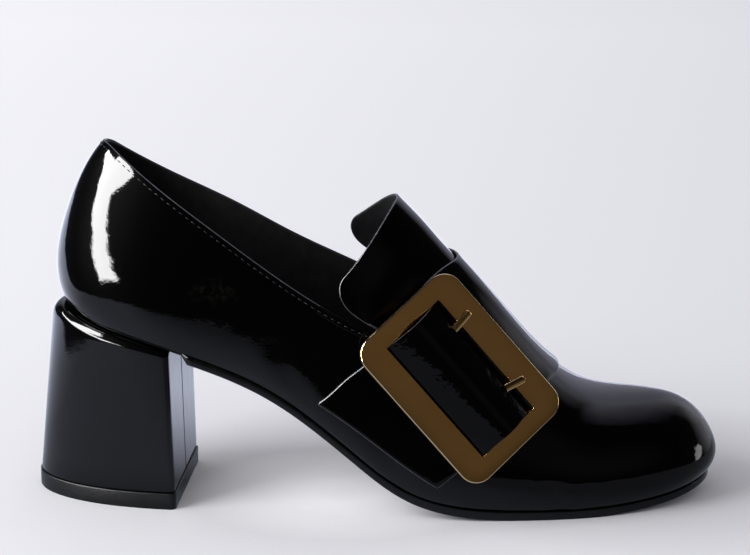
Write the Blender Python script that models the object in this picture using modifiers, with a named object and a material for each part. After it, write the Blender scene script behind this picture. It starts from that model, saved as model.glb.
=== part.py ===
"""Block-heel buckle pump, a right shoe standing on its sole.

+X runs to the toe, +Y to the medial side and +Z up, with the origin in the middle of the heel's floor face.
The upper, tongue, strap, sole and insole all follow one last, which the table SECTIONS describes with a
row for each section round the foot. Sizes are in millimetres and become metres in the meshes.
"""

from collections import namedtuple
from math import radians

import bmesh
import bpy
import numpy as np
from mathutils import Matrix, Vector

MM = 0.001
SHOE = "buckle_pump"
GAP = 0.3

# Leather and sole thicknesses
UPPER_WALL = 1.6
SOLE_THICK = 3.0
SOLE_SKIVED = 1.0
SOLE_EDGE_OUT = 0.5
SOLE_EDGE_IN = 1.6
SKIVE_STATIONS = (3.2, 3.3)
SOLE_TOE_THIN = 1.1
SOLE_TOE_STATIONS = (10, 13)
INSOLE_THICK = 2.0
INSOLE_INSET = 2.4

# The last, a row for each section from the heel's back to the toe's tip. A section stands upright on the
# sole's edge and leans in to a head on the ridge: x, lateral and medial place its foot, low_out and mid_out
# swell the wall beyond the foot, and top_in is the half-width of its crown. The crown points at the foot
# where level is 0 and straight across the shoe where it is 1.
Section = namedtuple(
    "Section", "x lateral medial foot_z head_x head_y head_z low_out mid_out mid_z top_in level"
)
SECTIONS = (
    Section(-15.8, 1.2, 1.2, 72.3, 14, -1.0, 137, 3.6, 4.2, 96, 15, 0),
    Section(-9.0, -14.8, 16.2, 69.6, 14, -1.0, 137, 3.4, 3.9, 94, 14, 0),
    Section(6.0, -23.5, 22.5, 65.4, 17, -1.2, 140, 2.8, 3.0, 90, 15, 0),
    Section(24.0, -26.8, 23.2, 60.2, 26, -2.0, 146, 1.0, 3.3, 79, 18, 0),
    Section(45.0, -26.5, 20.5, 52.2, 46, -2.8, 150, 1.25, 3.7, 64.4, 20, 0),
    Section(66.0, -28.2, 22.5, 41.0, 67, -2.8, 142, 2.0, 4.3, 49.3, 18, 0),
    Section(88.0, -31.5, 26.0, 24.3, 88, -2.5, 123.6, 3.2, 4.0, 36, 18, 0),
    Section(108.0, -34.2, 31.5, 10.2, 107, -2.0, 104.7, 3.2, 3.7, 29.3, 16, 1),
    Section(131.0, -35.3, 35.0, 4.2, 129, -1.0, 80.6, 3.2, 3.2, 25.7, 14, 1),
    Section(155.0, -33.8, 35.0, 3.2, 151, 0.3, 55.8, 3.0, 2.5, 24, 15, 1),
    Section(177.0, -30.0, 32.0, 3.25, 170, 1.4, 40.2, 3.0, 2.5, 22, 17, 1),
    Section(198.5, -22.0, 24.5, 4.9, 184, 2.0, 37.2, 3.0, 3.0, 22, 15.5, 0.5),
    Section(212.0, -11.5, 15.0, 7.0, 191, 2.2, 36.95, 3.5, 3.5, 21, 15, 0),
    Section(217.2, 2.0, 2.0, 7.9, 193, 2.3, 36.85, 4.0, 4.0, 21, 15, 0),
)
LOW_SHARE = 0.3
LAST_STATION = len(SECTIONS) - 1
LOOP = 2 * LAST_STATION

# The collar's height at the stations that it crosses, and the throat where it closes over the ridge
Collar = namedtuple("Collar", "station lateral_z medial_z")
COLLAR = (
    Collar(0, 129.8, 129.8),
    Collar(1, 129.4, 127.4),
    Collar(2, 125.2, 120.7),
    Collar(3, 114.8, 111.4),
    Collar(4, 99.5, 101.3),
    Collar(5, 84.1, 89.6),
    Collar(6, 71.0, 78.8),
)
THROAT_START = 6.3
THROAT_STATION = 7.9

# The heel, in its own frame: turned so that its breast faces a little to the lateral side
HEEL_TURN = -4.4
TOP_PIECE_THICK = 6.0
HEEL_BREAST_FOOT = 26.7
HEEL_BREAST_HEAD = 25.6
HEEL_BACK_FOOT = -26.6
HEEL_BACK_HEAD = -20.6
HEEL_HALF_FOOT = 25.3
HEEL_HALF_HEAD = 26.2
HEEL_ROUND = 2.2
SHOULDER_BACK = 5.2
SHOULDER_BREAST = 1.6
SHOULDER_MIDDLE = 5.6
TOP_PIECE_PROUD = 0.35
SEAT_STATIONS = 5

# The tongue on the last: how far each wing wraps down from the ridge, and how its free edge sweeps back
Wing = namedtuple("Wing", "arch sweep power")
LATERAL_WING = Wing(0.38, 1.18, 1.7)
MEDIAL_WING = Wing(0.322, 1.1, 1.85)
TONGUE_THICK = 1.0
TONGUE_TOP_STATION = 6.8
TONGUE_CORNER_ARCH = 0.055
TONGUE_CORNER_STATION = 0.47
TONGUE_TUCK = 0.25
TONGUE_RIDGE_FLARE = 0.6
TONGUE_WING_FLARE = 2.2
TONGUE_WING_ARCHES = (0.05, 0.3)
TONGUE_FLARE_SHARES = (0.3, 0.75)

# The strap's two edges on the last, from the ridge down each side: station along the foot and arch from
# the ridge (0) to the sole (1), and how far its middle bows up from the line between them
Strap = namedtuple("Strap", "rear_station rear_arch front_station front_arch bow")
STRAP = (
    Strap(7.78, 0.0, 9.52, 0.0, 0.0),
    Strap(7.566, 0.132, 9.25, 0.197, 0.0),
    Strap(7.06, 0.285, 8.62, 0.42, 0.0),
    Strap(6.45, 0.437, 8.0, 0.628, 0.01),
    Strap(5.93, 0.543, 7.73, 0.716, 0.025),
    Strap(5.514, 0.694, 7.491, 0.807, 0.0435),
)
STRAP_THICK = 1.2
STRAP_RISE_SHARES = (0.16, 0.95)
STRAP_RISE_ARCHES = (0.4, 0.5)
STRAP_END_LIFT = 2.2
STRAP_END_START = 0.45
STRAP_END_REACH = 0.4

# The buckle, placed by its middle, the way its face looks and the roll of its long side
BUCKLE_CENTRE = (126.5, -34.05, 53.0)
BUCKLE_AZIMUTH = 16.9
BUCKLE_ELEVATION = 20.0
BUCKLE_ROLL = -52.7
BUCKLE_LENGTH = 65.2
BUCKLE_WIDTH = 45.8
BUCKLE_OPEN_LENGTH = 51.2
BUCKLE_OPEN_WIDTH = 25.5
BUCKLE_THICK = 2.2
BUCKLE_CORNER = 7.0

# The band that bulges through the buckle, in the buckle's frame
BAND_HALF_LENGTH = 25.3
BAND_HALF_WIDTH = 19.0
BAND_THICK = 1.2
BAND_CROWN = 5.9
BAND_CREST_ROUND = 4.0
BAND_UNDER_BAR = 0.3
BAND_FALL = 0.48

# Each prong in the buckle's frame: where it leaves the band and where its tip rests on the long bar
Prong = namedtuple("Prong", "name root_x root_y tip_x tip_y")
PRONGS = (
    Prong("prong_rear", -14.2, 9.6, -15.1, 18.5),
    Prong("prong_front", 13.5, 9.6, 15.7, 17.6),
)
PRONG_RADIUS = 1.15

# Mesh steps
STATION_STEPS = 3
THROAT_STEPS = 6
WALL_STEPS = 11
ACROSS_STEPS = 6
HEEL_STEPS = 28
SHEET_STEPS = 8
STRAP_STEPS = 26
TONGUE_STEPS = 18
CORNER_STEPS = 6
SHOULDER_STEPS = 4
HEEL_RINGS = 5
SEAT_STEPS = 12
HALVINGS = 40
THROAT_CLEAR = 0.1
OUTLINE_STEP = 0.02
SURFACE_STEP = 0.004
WELD = 0.02
SLIVER = 0.005
SHARP_ANGLE = 40
TINY = 1e-9


def through_points(rows, closed):
    """The control points of the uniform cubic spline that passes through these rows."""
    rows = np.asarray(rows, float)
    count = len(rows)
    weights = np.zeros((count, count))
    for i in range(count):
        weights[i, i] = 4
        for j in (i - 1, i + 1):
            if closed:
                weights[i, j % count] += 1
            elif 0 < i < count - 1:
                weights[i, j] = 1
    if not closed:
        weights[0, 0] = weights[-1, -1] = 6
    return np.linalg.solve(weights / 6, rows.reshape(count, -1)).reshape(rows.shape)


def on_spline(controls, place, closed):
    """The point of that spline at a place counted in rows."""
    count = len(controls)
    if not closed:
        place = min(max(place, 0), count - 1 - TINY)
    i = int(np.floor(place))
    t = place - i
    if closed:
        near = [controls[(i + k) % count] for k in (-1, 0, 1, 2)]
    else:
        first = 2 * controls[0] - controls[1]
        final = 2 * controls[-1] - controls[-2]
        padded = [first, *controls, final]
        near = padded[i:i + 4]
    shares = ((1 - t) ** 3, 3 * t**3 - 6 * t**2 + 4, -3 * t**3 + 3 * t**2 + 3 * t + 1, t**3)
    return sum(share * point for share, point in zip(shares, near)) / 6


def section_controls(section, side_y):
    """The five control points of one section's profile, foot to head."""
    foot = np.array((section.x, side_y))
    head = np.array((section.head_x, section.head_y))
    reach = np.linalg.norm(foot - head)
    outward = (foot - head) / reach
    straight = np.array((0.0, np.sign(side_y - section.head_y)))
    crown = outward + section.level * (straight - outward)
    low_z = section.foot_z + LOW_SHARE * (section.mid_z - section.foot_z)
    return [
        (*foot, section.foot_z),
        (*(head + (reach + section.low_out) * outward), low_z),
        (*(head + (reach + section.mid_out) * outward), section.mid_z),
        (*(head + section.top_in * crown), section.head_z),
        (*head, section.head_z),
    ]


def last_controls():
    """Control points of the whole last: lateral sections heel to toe, then medial ones back to the heel."""
    lateral = [section_controls(s, s.lateral) for s in SECTIONS]
    medial = [section_controls(s, s.medial) for s in SECTIONS[-2:0:-1]]
    return through_points(lateral + medial, closed=True)


LAST = last_controls()


def profile_shares(u):
    """Weights of a clamped cubic profile with five control points."""
    if u > 0.5:
        return profile_shares(1 - u)[::-1]
    return (
        (1 - 2 * u) ** 3,
        2 * u * (7 * u * u - 9 * u + 3),
        2 * u * u * (3 - 4 * u),
        2 * u**3,
        0.0,
    )


def last_point(place, u):
    """A point of the last: place counts sections round the loop, u runs from foot to head."""
    controls = on_spline(LAST, place % LOOP, closed=True)
    return sum(share * point for share, point in zip(profile_shares(u), controls))


def outline_point(place, out, lift=0.0):
    """A point of the sole's edge, moved out along the plan's normal."""
    ahead = last_point(place + OUTLINE_STEP, 0) - last_point(place - OUTLINE_STEP, 0)
    outward = np.array((ahead[1], -ahead[0], 0)) / np.hypot(ahead[0], ahead[1])
    return last_point(place, 0) + out * outward + np.array((0, 0, lift))


def arch_point(station, arch):
    """A point of the last by station and by arch: -1 lateral foot, 0 ridge, 1 medial foot."""
    if arch <= 0:
        return last_point(station, 1 + arch)
    return last_point(LOOP - station, 1 - arch)


def lifted(station, arch, lift):
    """A point at a height over the last's surface."""
    step = SURFACE_STEP
    along = arch_point(station + step, arch) - arch_point(station - step, arch)
    round_foot = arch_point(station, arch + step) - arch_point(station, arch - step)
    outward = np.cross(along, round_foot)
    return arch_point(station, arch) + lift * outward / np.linalg.norm(outward)


def ease(value, start, end):
    """A smooth step from 0 at start to 1 at end."""
    t = float(np.clip((value - start) / (end - start), 0, 1))
    return t * t * (3 - 2 * t)


def station_of(place):
    return min(place % LOOP, LOOP - place % LOOP)


def collar_height(place):
    station = station_of(place)
    heights = [(c.lateral_z, c.medial_z) for c in COLLAR]
    lateral_z, medial_z = on_spline(through_points(heights, closed=False), station, closed=False)
    return lateral_z if place % LOOP <= LAST_STATION else medial_z


def height_to_u(place, height):
    low, high = 0.0, 1.0
    for _ in range(HALVINGS):
        middle = (low + high) / 2
        if last_point(place, middle)[2] < height:
            low = middle
        else:
            high = middle
    return high


def collar_u(place):
    """How far up its profile the upper's wall reaches: the collar, or the ridge in front of the throat."""
    station = station_of(place)
    if station >= THROAT_STATION:
        return 1.0
    side = 1 if place % LOOP <= LAST_STATION else -1
    if station <= THROAT_START:
        return height_to_u(place, collar_height(place))
    start = THROAT_START if side > 0 else LOOP - THROAT_START
    open_width = 1 - height_to_u(start, collar_height(start))
    share = (station - THROAT_START) / (THROAT_STATION - THROAT_START)
    return 1 - open_width * np.sqrt(1 - share**2)


def mesh_object(name, points, faces, material, collection):
    """One named part from points in millimetres."""
    mesh = bpy.data.meshes.new(name)
    mesh.from_pydata([Vector(p) * MM for p in points], [], faces)
    bm = bmesh.new()
    bm.from_mesh(mesh)
    bmesh.ops.remove_doubles(bm, verts=bm.verts, dist=WELD * MM)
    bmesh.ops.dissolve_degenerate(bm, edges=bm.edges, dist=SLIVER * MM)
    bmesh.ops.recalc_face_normals(bm, faces=bm.faces)
    bm.to_mesh(mesh)
    bm.free()
    mesh.shade_smooth()
    mesh.set_sharp_from_angle(angle=radians(SHARP_ANGLE))
    mesh.materials.append(material)
    part = bpy.data.objects.new(name, mesh)
    collection.objects.link(part)
    return part


def grid_faces(columns, rows, wrap=False, start=0):
    """Quads of a grid of points stored column by column."""
    faces = []
    for i in range(columns if wrap else columns - 1):
        for j in range(rows - 1):
            a = start + i * rows + j
            b = start + (i + 1) % columns * rows + j
            faces.append((a, b, b + 1, a + 1))
    return faces


def solidify(part, thickness, offset):
    shell = part.modifiers.new("wall", "SOLIDIFY")
    shell.thickness = thickness * MM
    shell.offset = offset
    shell.use_even_offset = True
    return shell


def plain_material(name, colour, roughness, metallic=0.0):
    material = bpy.data.materials.new(name)
    material.use_nodes = True
    shader = material.node_tree.nodes["Principled BSDF"]
    shader.inputs["Base Color"].default_value = (*colour, 1)
    shader.inputs["Roughness"].default_value = roughness
    shader.inputs["Metallic"].default_value = metallic
    return material


def upper_places():
    """Places round the loop, closer together where the collar turns over the throat."""
    even = np.arange(0, LAST_STATION, 1 / STATION_STEPS)
    turn = np.sin(np.linspace(0, np.pi / 2, THROAT_STEPS + 1))
    throat = THROAT_START + (THROAT_STATION - THROAT_START) * turn
    even = even[(even < THROAT_START - THROAT_CLEAR) | (even > THROAT_STATION + THROAT_CLEAR)]
    half = np.sort(np.concatenate((even, throat)))
    return np.concatenate((half, [LAST_STATION], LOOP - half[:0:-1]))


def make_upper(material, collection):
    places = upper_places()
    points = []
    for place in places:
        top = collar_u(place)
        points += [last_point(place, u) for u in np.linspace(0, top, WALL_STEPS)]
    faces = grid_faces(len(places), WALL_STEPS, wrap=True)
    upper = mesh_object("upper", points, faces, material, collection)
    solidify(upper, UPPER_WALL, -1)
    return upper


def plate(name, top_point, bottom_point, material, collection):
    """A sole-shaped plate: top and bottom points by station and by share across, lateral to medial."""
    stations = np.union1d(np.linspace(0, LAST_STATION, LAST_STATION * STATION_STEPS + 1), SKIVE_STATIONS)
    shares = np.linspace(0, 1, ACROSS_STEPS + 1)
    points = [top_point(s, a) for s in stations for a in shares]
    points += [bottom_point(s, a) for s in stations for a in shares]
    columns, rows = len(stations), len(shares)
    faces = grid_faces(columns, rows)
    under = columns * rows
    faces += [face[::-1] for face in grid_faces(columns, rows, start=under)]
    for edge in (0, rows - 1):
        rim = [i * rows + edge for i in range(columns)]
        faces += [(a, b, b + under, a + under) for a, b in zip(rim, rim[1:])]
    return mesh_object(name, points, faces, material, collection)


def across(station, share, out, lift):
    """A point between the lateral and the medial edge at one station."""
    lateral = outline_point(station, out, lift)
    medial = outline_point(LOOP - station, out, lift)
    return lateral + share * (medial - lateral)


def under_heel(station):
    """1 where the sole is tucked under the heel seat, 0 in front of the breast."""
    return float(np.interp(station, SKIVE_STATIONS, (1, 0)))


def sole_out(station):
    return SOLE_EDGE_OUT - under_heel(station) * (SOLE_EDGE_OUT + SOLE_EDGE_IN)


def make_outsole(material, collection):
    def top(station, share):
        return across(station, share, sole_out(station), -GAP)

    def bottom(station, share):
        point = top(station, share)
        thick = SOLE_THICK + under_heel(station) * (SOLE_SKIVED - SOLE_THICK)
        thick -= np.interp(station, SOLE_TOE_STATIONS, (0, SOLE_TOE_THIN))
        point[2] = max(point[2] - thick, 0)
        return point

    return plate("outsole", top, bottom, material, collection)


def make_insole(material, collection):
    def bottom(station, share):
        return across(station, share, -INSOLE_INSET, 0)

    def top(station, share):
        return bottom(station, share) + np.array((0, 0, INSOLE_THICK))

    return plate("insole", top, bottom, material, collection)


def half_round(back, breast, half_width):
    """The heel's plan in its own frame: flat at the breast and round at the back."""
    turns = np.linspace(-np.pi / 2, np.pi / 2, HEEL_STEPS + 1)
    length = breast - back
    return [
        np.array((breast - length * np.cos(t) ** (2 / HEEL_ROUND), half_width * np.sin(t)))
        for t in turns
    ]


def in_shoe_frame(plan):
    turn = Matrix.Rotation(radians(HEEL_TURN), 2)
    return np.array(turn @ Vector(plan))


def seat_height(x):
    """The height of the skived sole's underside at one place along the heel seat."""
    stations = np.linspace(0, SEAT_STATIONS, SEAT_STATIONS * SEAT_STEPS + 1)
    spine = [(last_point(s, 0) + last_point(LOOP - s, 0)) / 2 for s in stations]
    lengths = [p[0] for p in spine]
    return float(np.interp(x, lengths, [p[2] for p in spine])) - GAP - SOLE_SKIVED - GAP


def shoulder_radius(x):
    """The shoulder's radius at one place along the heel, largest at the back."""
    toward_back = (HEEL_BREAST_HEAD - x) / (HEEL_BREAST_HEAD - HEEL_BACK_HEAD)
    return SHOULDER_BREAST + (SHOULDER_BACK - SHOULDER_BREAST) * toward_back


def capped_rings(rings):
    """A closed loft through rings of equal count, top first."""
    count = len(rings[0])
    points = [p for ring in rings for p in ring]
    faces = []
    for i in range(len(rings) - 1):
        for j in range(count):
            a, b = i * count + j, i * count + (j + 1) % count
            faces.append((a, b, b + count, a + count))
    faces.append(tuple(range(count)))
    faces.append(tuple(range((len(rings) - 1) * count, len(rings) * count)))
    return points, faces


def make_heel(material, collection):
    head = half_round(HEEL_BACK_HEAD, HEEL_BREAST_HEAD, HEEL_HALF_HEAD)
    foot = half_round(HEEL_BACK_FOOT, HEEL_BREAST_FOOT, HEEL_HALF_FOOT)
    floor = TOP_PIECE_THICK + GAP
    middle = np.array((SHOULDER_MIDDLE, 0))
    rings = []
    for turn in np.linspace(0, np.pi / 2, SHOULDER_STEPS + 1):
        ring = []
        for plan in head:
            radius = shoulder_radius(plan[0])
            inward = middle - plan
            if np.isclose(plan[0], HEEL_BREAST_HEAD):
                inward[0] = 0
            inward = inward / np.linalg.norm(inward)
            place = in_shoe_frame(plan + radius * (1 - np.sin(turn)) * inward)
            ring.append((*place, seat_height(place[0]) - radius * (1 - np.cos(turn))))
        rings.append(ring)
    top_ring = rings[-1]
    for share in np.linspace(0, 1, HEEL_RINGS + 1)[1:]:
        ring = []
        for above, plan in zip(top_ring, foot):
            place = in_shoe_frame(plan)
            ring.append(tuple(np.array(above) * (1 - share) + np.array((*place, floor)) * share))
        rings.append(ring)
    points, faces = capped_rings(rings)
    return mesh_object("heel_block", points, faces, material, collection)


def make_top_piece(material, collection):
    plan = half_round(
        HEEL_BACK_FOOT - TOP_PIECE_PROUD,
        HEEL_BREAST_FOOT + TOP_PIECE_PROUD,
        HEEL_HALF_FOOT + TOP_PIECE_PROUD,
    )
    rings = [[(*in_shoe_frame(p), z) for p in plan] for z in (TOP_PIECE_THICK, 0.0)]
    points, faces = capped_rings(rings)
    return mesh_object("heel_top_piece", points, faces, material, collection)


def tongue_rear(arch):
    """The station of the tongue's free edge, with its rounded lower corners."""
    wing = LATERAL_WING if arch < 0 else MEDIAL_WING
    sweep = wing.sweep * (abs(arch) / wing.arch) ** wing.power
    into = np.clip((abs(arch) - wing.arch) / TONGUE_CORNER_ARCH + 1, 0, 1)
    return TONGUE_TOP_STATION - sweep + TONGUE_CORNER_STATION * (1 - np.sqrt(1 - into**2))


def strap_row(share):
    """The strap's rear edge, front edge and bow at a share of its length, lateral to medial end."""
    lateral = [(r.rear_station, -r.rear_arch, r.front_station, -r.front_arch, -r.bow) for r in STRAP[::-1]]
    medial = [tuple(r) for r in STRAP[1:]]
    rows = through_points(lateral + medial, closed=False)
    row = on_spline(rows, share * (len(rows) - 1), closed=False)
    return row[:2], row[2:4], np.array((0, row[4]))


def strap_rear(arch):
    return np.interp(abs(arch), [r.rear_arch for r in STRAP], [r.rear_station for r in STRAP])


def make_tongue(material, collection):
    turns = np.linspace(-np.pi / 2, np.pi / 2, TONGUE_STEPS + 1)
    points = []
    for turn in turns:
        wing = LATERAL_WING if turn < 0 else MEDIAL_WING
        arch = wing.arch * np.sin(turn)
        front = strap_rear(arch) + TONGUE_TUCK
        toward_wing = ease(abs(arch), *TONGUE_WING_ARCHES)
        flare = TONGUE_RIDGE_FLARE + (TONGUE_WING_FLARE - TONGUE_RIDGE_FLARE) * toward_wing
        for share in np.linspace(0, 1, SHEET_STEPS + 1):
            station = front + share * (tongue_rear(arch) - front)
            points.append(lifted(station, arch, GAP + flare * ease(share, *TONGUE_FLARE_SHARES)))
    faces = grid_faces(len(turns), SHEET_STEPS + 1)
    tongue = mesh_object("tongue", points, faces, material, collection)
    turn_outward(tongue)
    solidify(tongue, TONGUE_THICK, 1)
    return tongue


def make_strap(material, collection):
    lengths = np.linspace(0, 1, STRAP_STEPS + 1)
    points = []
    for length in lengths:
        rear, front, bow = strap_row(length)
        for share in np.linspace(0, 1, SHEET_STEPS + 1):
            station, arch = rear + share * (front - rear) - 4 * share * (1 - share) * bow
            over_tongue = (1 - ease(share, *STRAP_RISE_SHARES)) * (1 - ease(abs(arch), *STRAP_RISE_ARCHES))
            end_lift = STRAP_END_LIFT * max(0, (abs(arch) - STRAP_END_START) / STRAP_END_REACH) ** 2
            points.append(lifted(station, arch, GAP + over_tongue * (TONGUE_THICK + GAP) + end_lift))
    strap = mesh_object("strap", points, grid_faces(len(lengths), SHEET_STEPS + 1), material, collection)
    turn_outward(strap)
    solidify(strap, STRAP_THICK, 1)
    return strap


def turn_outward(sheet):
    """Faces of an open sheet over the instep point away from the foot."""
    uppermost = max(sheet.data.polygons, key=lambda face: face.center.z)
    if uppermost.normal.z < 0:
        sheet.data.flip_normals()


def buckle_matrix():
    face = Vector((0, -1, 0))
    face.rotate(Matrix.Rotation(radians(-BUCKLE_ELEVATION), 3, "X"))
    face.rotate(Matrix.Rotation(radians(BUCKLE_AZIMUTH), 3, "Z"))
    level = Vector((0, 0, 1)).cross(face).normalized()
    long_side = Matrix.Rotation(radians(BUCKLE_ROLL), 3, face) @ level
    short_side = face.cross(long_side)
    turn = Matrix((long_side, short_side, face)).transposed().to_4x4()
    return Matrix.Translation(Vector(BUCKLE_CENTRE) * MM) @ turn


def rounded_rectangle(length, width, corner):
    """Outline points, with an arc of CORNER_STEPS at each corner or none where corner is 0."""
    points = []
    for turn, (sx, sy) in enumerate(((1, 1), (-1, 1), (-1, -1), (1, -1))):
        middle = np.array((sx * (length / 2 - corner), sy * (width / 2 - corner)))
        steps = CORNER_STEPS if corner else 0
        for angle in np.linspace(0, np.pi / 2, steps + 1) + turn * np.pi / 2:
            points.append(middle + corner * np.array((np.cos(angle), np.sin(angle))))
    return points


def make_buckle_frame(material, collection):
    curve = bpy.data.curves.new("buckle_frame", "CURVE")
    curve.dimensions = "2D"
    curve.fill_mode = "BOTH"
    curve.extrude = BUCKLE_THICK / 2 * MM
    outer = rounded_rectangle(BUCKLE_LENGTH, BUCKLE_WIDTH, BUCKLE_CORNER)
    inner = rounded_rectangle(BUCKLE_OPEN_LENGTH, BUCKLE_OPEN_WIDTH, 0)
    for outline in (outer, inner):
        spline = curve.splines.new("POLY")
        spline.points.add(len(outline) - 1)
        spline.use_cyclic_u = True
        for point, (x, y) in zip(spline.points, outline):
            point.co = (x * MM, y * MM, 0, 1)
    curve.materials.append(material)
    frame = bpy.data.objects.new("buckle_frame", curve)
    frame.matrix_world = buckle_matrix()
    collection.objects.link(frame)
    return frame


def band_height(y):
    """The band's top over the buckle's middle plane: a bulge in the opening, falling under the bars."""
    edge = BUCKLE_OPEN_WIDTH / 2
    under_bar = -BUCKLE_THICK / 2 - BAND_UNDER_BAR
    if abs(y) > edge:
        return under_bar - BAND_FALL * (abs(y) - edge)
    fall, whole_fall = (np.hypot(reach, BAND_CREST_ROUND) - BAND_CREST_ROUND for reach in (y, edge))
    return BAND_CROWN + (under_bar - BAND_CROWN) * fall / whole_fall


def make_band(material, collection):
    lengths = np.linspace(-BAND_HALF_LENGTH, BAND_HALF_LENGTH, SHEET_STEPS + 1)
    widths = np.linspace(-BAND_HALF_WIDTH, BAND_HALF_WIDTH, STRAP_STEPS + 1)
    points = [(x, y, band_height(y)) for x in lengths for y in widths]
    band = mesh_object("buckle_band", points, grid_faces(len(lengths), len(widths)), material, collection)
    turn_outward(band)
    band.matrix_world = buckle_matrix()
    solidify(band, BAND_THICK, -1)
    return band


def make_prong(prong, material, collection):
    over_bar = BUCKLE_THICK / 2 + GAP + PRONG_RADIUS
    edge = BUCKLE_OPEN_WIDTH / 2
    root = (prong.root_x, prong.root_y, band_height(prong.root_y) + GAP + PRONG_RADIUS)
    knee_share = (edge - prong.root_y) / (prong.tip_y - prong.root_y)
    knee_x = prong.root_x + knee_share * (prong.tip_x - prong.root_x)
    route = (root, (knee_x, edge, over_bar), (prong.tip_x, prong.tip_y, over_bar))
    curve = bpy.data.curves.new(prong.name, "CURVE")
    curve.dimensions = "3D"
    curve.bevel_depth = PRONG_RADIUS * MM
    curve.bevel_resolution = 2
    curve.use_fill_caps = True
    spline = curve.splines.new("POLY")
    spline.points.add(len(route) - 1)
    for point, place in zip(spline.points, route):
        point.co = (*(Vector(place) * MM), 1)
    curve.materials.append(material)
    part = bpy.data.objects.new(prong.name, curve)
    part.matrix_world = buckle_matrix()
    collection.objects.link(part)
    return part


def main():
    for old in list(bpy.data.objects):
        bpy.data.objects.remove(old, do_unlink=True)
    collection = bpy.data.collections.new(SHOE)
    bpy.context.scene.collection.children.link(collection)
    patent = plain_material("patent_leather", (0.006, 0.006, 0.008), 0.08)
    rubber = plain_material("heel_rubber", (0.02, 0.02, 0.022), 0.5)
    sole = plain_material("sole_leather", (0.015, 0.015, 0.017), 0.45)
    lining = plain_material("lining_leather", (0.03, 0.03, 0.033), 0.6)
    gilt = plain_material("gilt_metal", (0.45, 0.27, 0.10), 0.25, 1.0)
    make_upper(patent, collection)
    make_outsole(sole, collection)
    make_insole(lining, collection)
    make_heel(patent, collection)
    make_top_piece(rubber, collection)
    make_tongue(patent, collection)
    make_strap(patent, collection)
    make_buckle_frame(gilt, collection)
    make_band(patent, collection)
    for prong in PRONGS:
        make_prong(prong, gilt, collection)


main()
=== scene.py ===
"""Looks of the block-heel buckle pump: patent leather, gilt buckle, stitching and the studio around them.

+X runs to the toe, +Y to the medial side and +Z up. The last is in millimetres, as in the CAD part.
"""

from collections import namedtuple
from math import cos, pi, radians, sin

import bmesh
import bpy
import numpy as np
from mathutils import Matrix, Vector


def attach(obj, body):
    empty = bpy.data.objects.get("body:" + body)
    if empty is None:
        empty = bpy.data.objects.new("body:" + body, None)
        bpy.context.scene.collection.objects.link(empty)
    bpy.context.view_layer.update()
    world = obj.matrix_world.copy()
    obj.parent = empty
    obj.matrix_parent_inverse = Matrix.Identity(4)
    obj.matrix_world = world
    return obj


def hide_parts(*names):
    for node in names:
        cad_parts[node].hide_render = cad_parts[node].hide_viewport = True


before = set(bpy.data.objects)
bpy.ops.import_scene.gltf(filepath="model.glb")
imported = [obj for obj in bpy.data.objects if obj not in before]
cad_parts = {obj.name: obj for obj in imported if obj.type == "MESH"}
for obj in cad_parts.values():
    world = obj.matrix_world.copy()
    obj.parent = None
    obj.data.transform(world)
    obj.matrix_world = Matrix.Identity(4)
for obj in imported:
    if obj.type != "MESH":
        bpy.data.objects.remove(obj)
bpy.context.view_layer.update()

MM = 0.001
GAP = 0.3

# The last, a row for each section from the heel's back to the toe's tip
Section = namedtuple(
    "Section", "x lateral medial foot_z head_x head_y head_z low_out mid_out mid_z top_in level")
SECTIONS = (
    Section(-15.8, 1.2, 1.2, 72.3, 14, -1.0, 137, 3.6, 4.2, 96, 15, 0),
    Section(-9.0, -14.8, 16.2, 69.6, 14, -1.0, 137, 3.4, 3.9, 94, 14, 0),
    Section(6.0, -23.5, 22.5, 65.4, 17, -1.2, 140, 2.8, 3.0, 90, 15, 0),
    Section(24.0, -26.8, 23.2, 60.2, 26, -2.0, 146, 1.0, 3.3, 79, 18, 0),
    Section(45.0, -26.5, 20.5, 52.2, 46, -2.8, 150, 1.25, 3.7, 64.4, 20, 0),
    Section(66.0, -28.2, 22.5, 41.0, 67, -2.8, 142, 2.0, 4.3, 49.3, 18, 0),
    Section(88.0, -31.5, 26.0, 24.3, 88, -2.5, 123.6, 3.2, 4.0, 36, 18, 0),
    Section(108.0, -34.2, 31.5, 10.2, 107, -2.0, 104.7, 3.2, 3.7, 29.3, 16, 1),
    Section(131.0, -35.3, 35.0, 4.2, 129, -1.0, 80.6, 3.2, 3.2, 25.7, 14, 1),
    Section(155.0, -33.8, 35.0, 3.2, 151, 0.3, 55.8, 3.0, 2.5, 24, 15, 1),
    Section(177.0, -30.0, 32.0, 3.25, 170, 1.4, 40.2, 3.0, 2.5, 22, 17, 1),
    Section(198.5, -22.0, 24.5, 4.9, 184, 2.0, 37.2, 3.0, 3.0, 22, 15.5, 0.5),
    Section(212.0, -11.5, 15.0, 7.0, 191, 2.2, 36.95, 3.5, 3.5, 21, 15, 0),
    Section(217.2, 2.0, 2.0, 7.9, 193, 2.3, 36.85, 4.0, 4.0, 21, 15, 0),
)
LOW_SHARE = 0.3
LAST_STATION = len(SECTIONS) - 1
LOOP = 2 * LAST_STATION

Collar = namedtuple("Collar", "station lateral_z medial_z")
COLLAR = (
    Collar(0, 129.8, 129.8),
    Collar(1, 129.4, 127.4),
    Collar(2, 125.2, 120.7),
    Collar(3, 114.8, 111.4),
    Collar(4, 99.5, 101.3),
    Collar(5, 84.1, 89.6),
    Collar(6, 71.0, 78.8),
    Collar(7, 63.0, 69.0),
)
THROAT_START = 6.3
THROAT_STATION = 7.9
JUST_INSIDE = 1e-9


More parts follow.
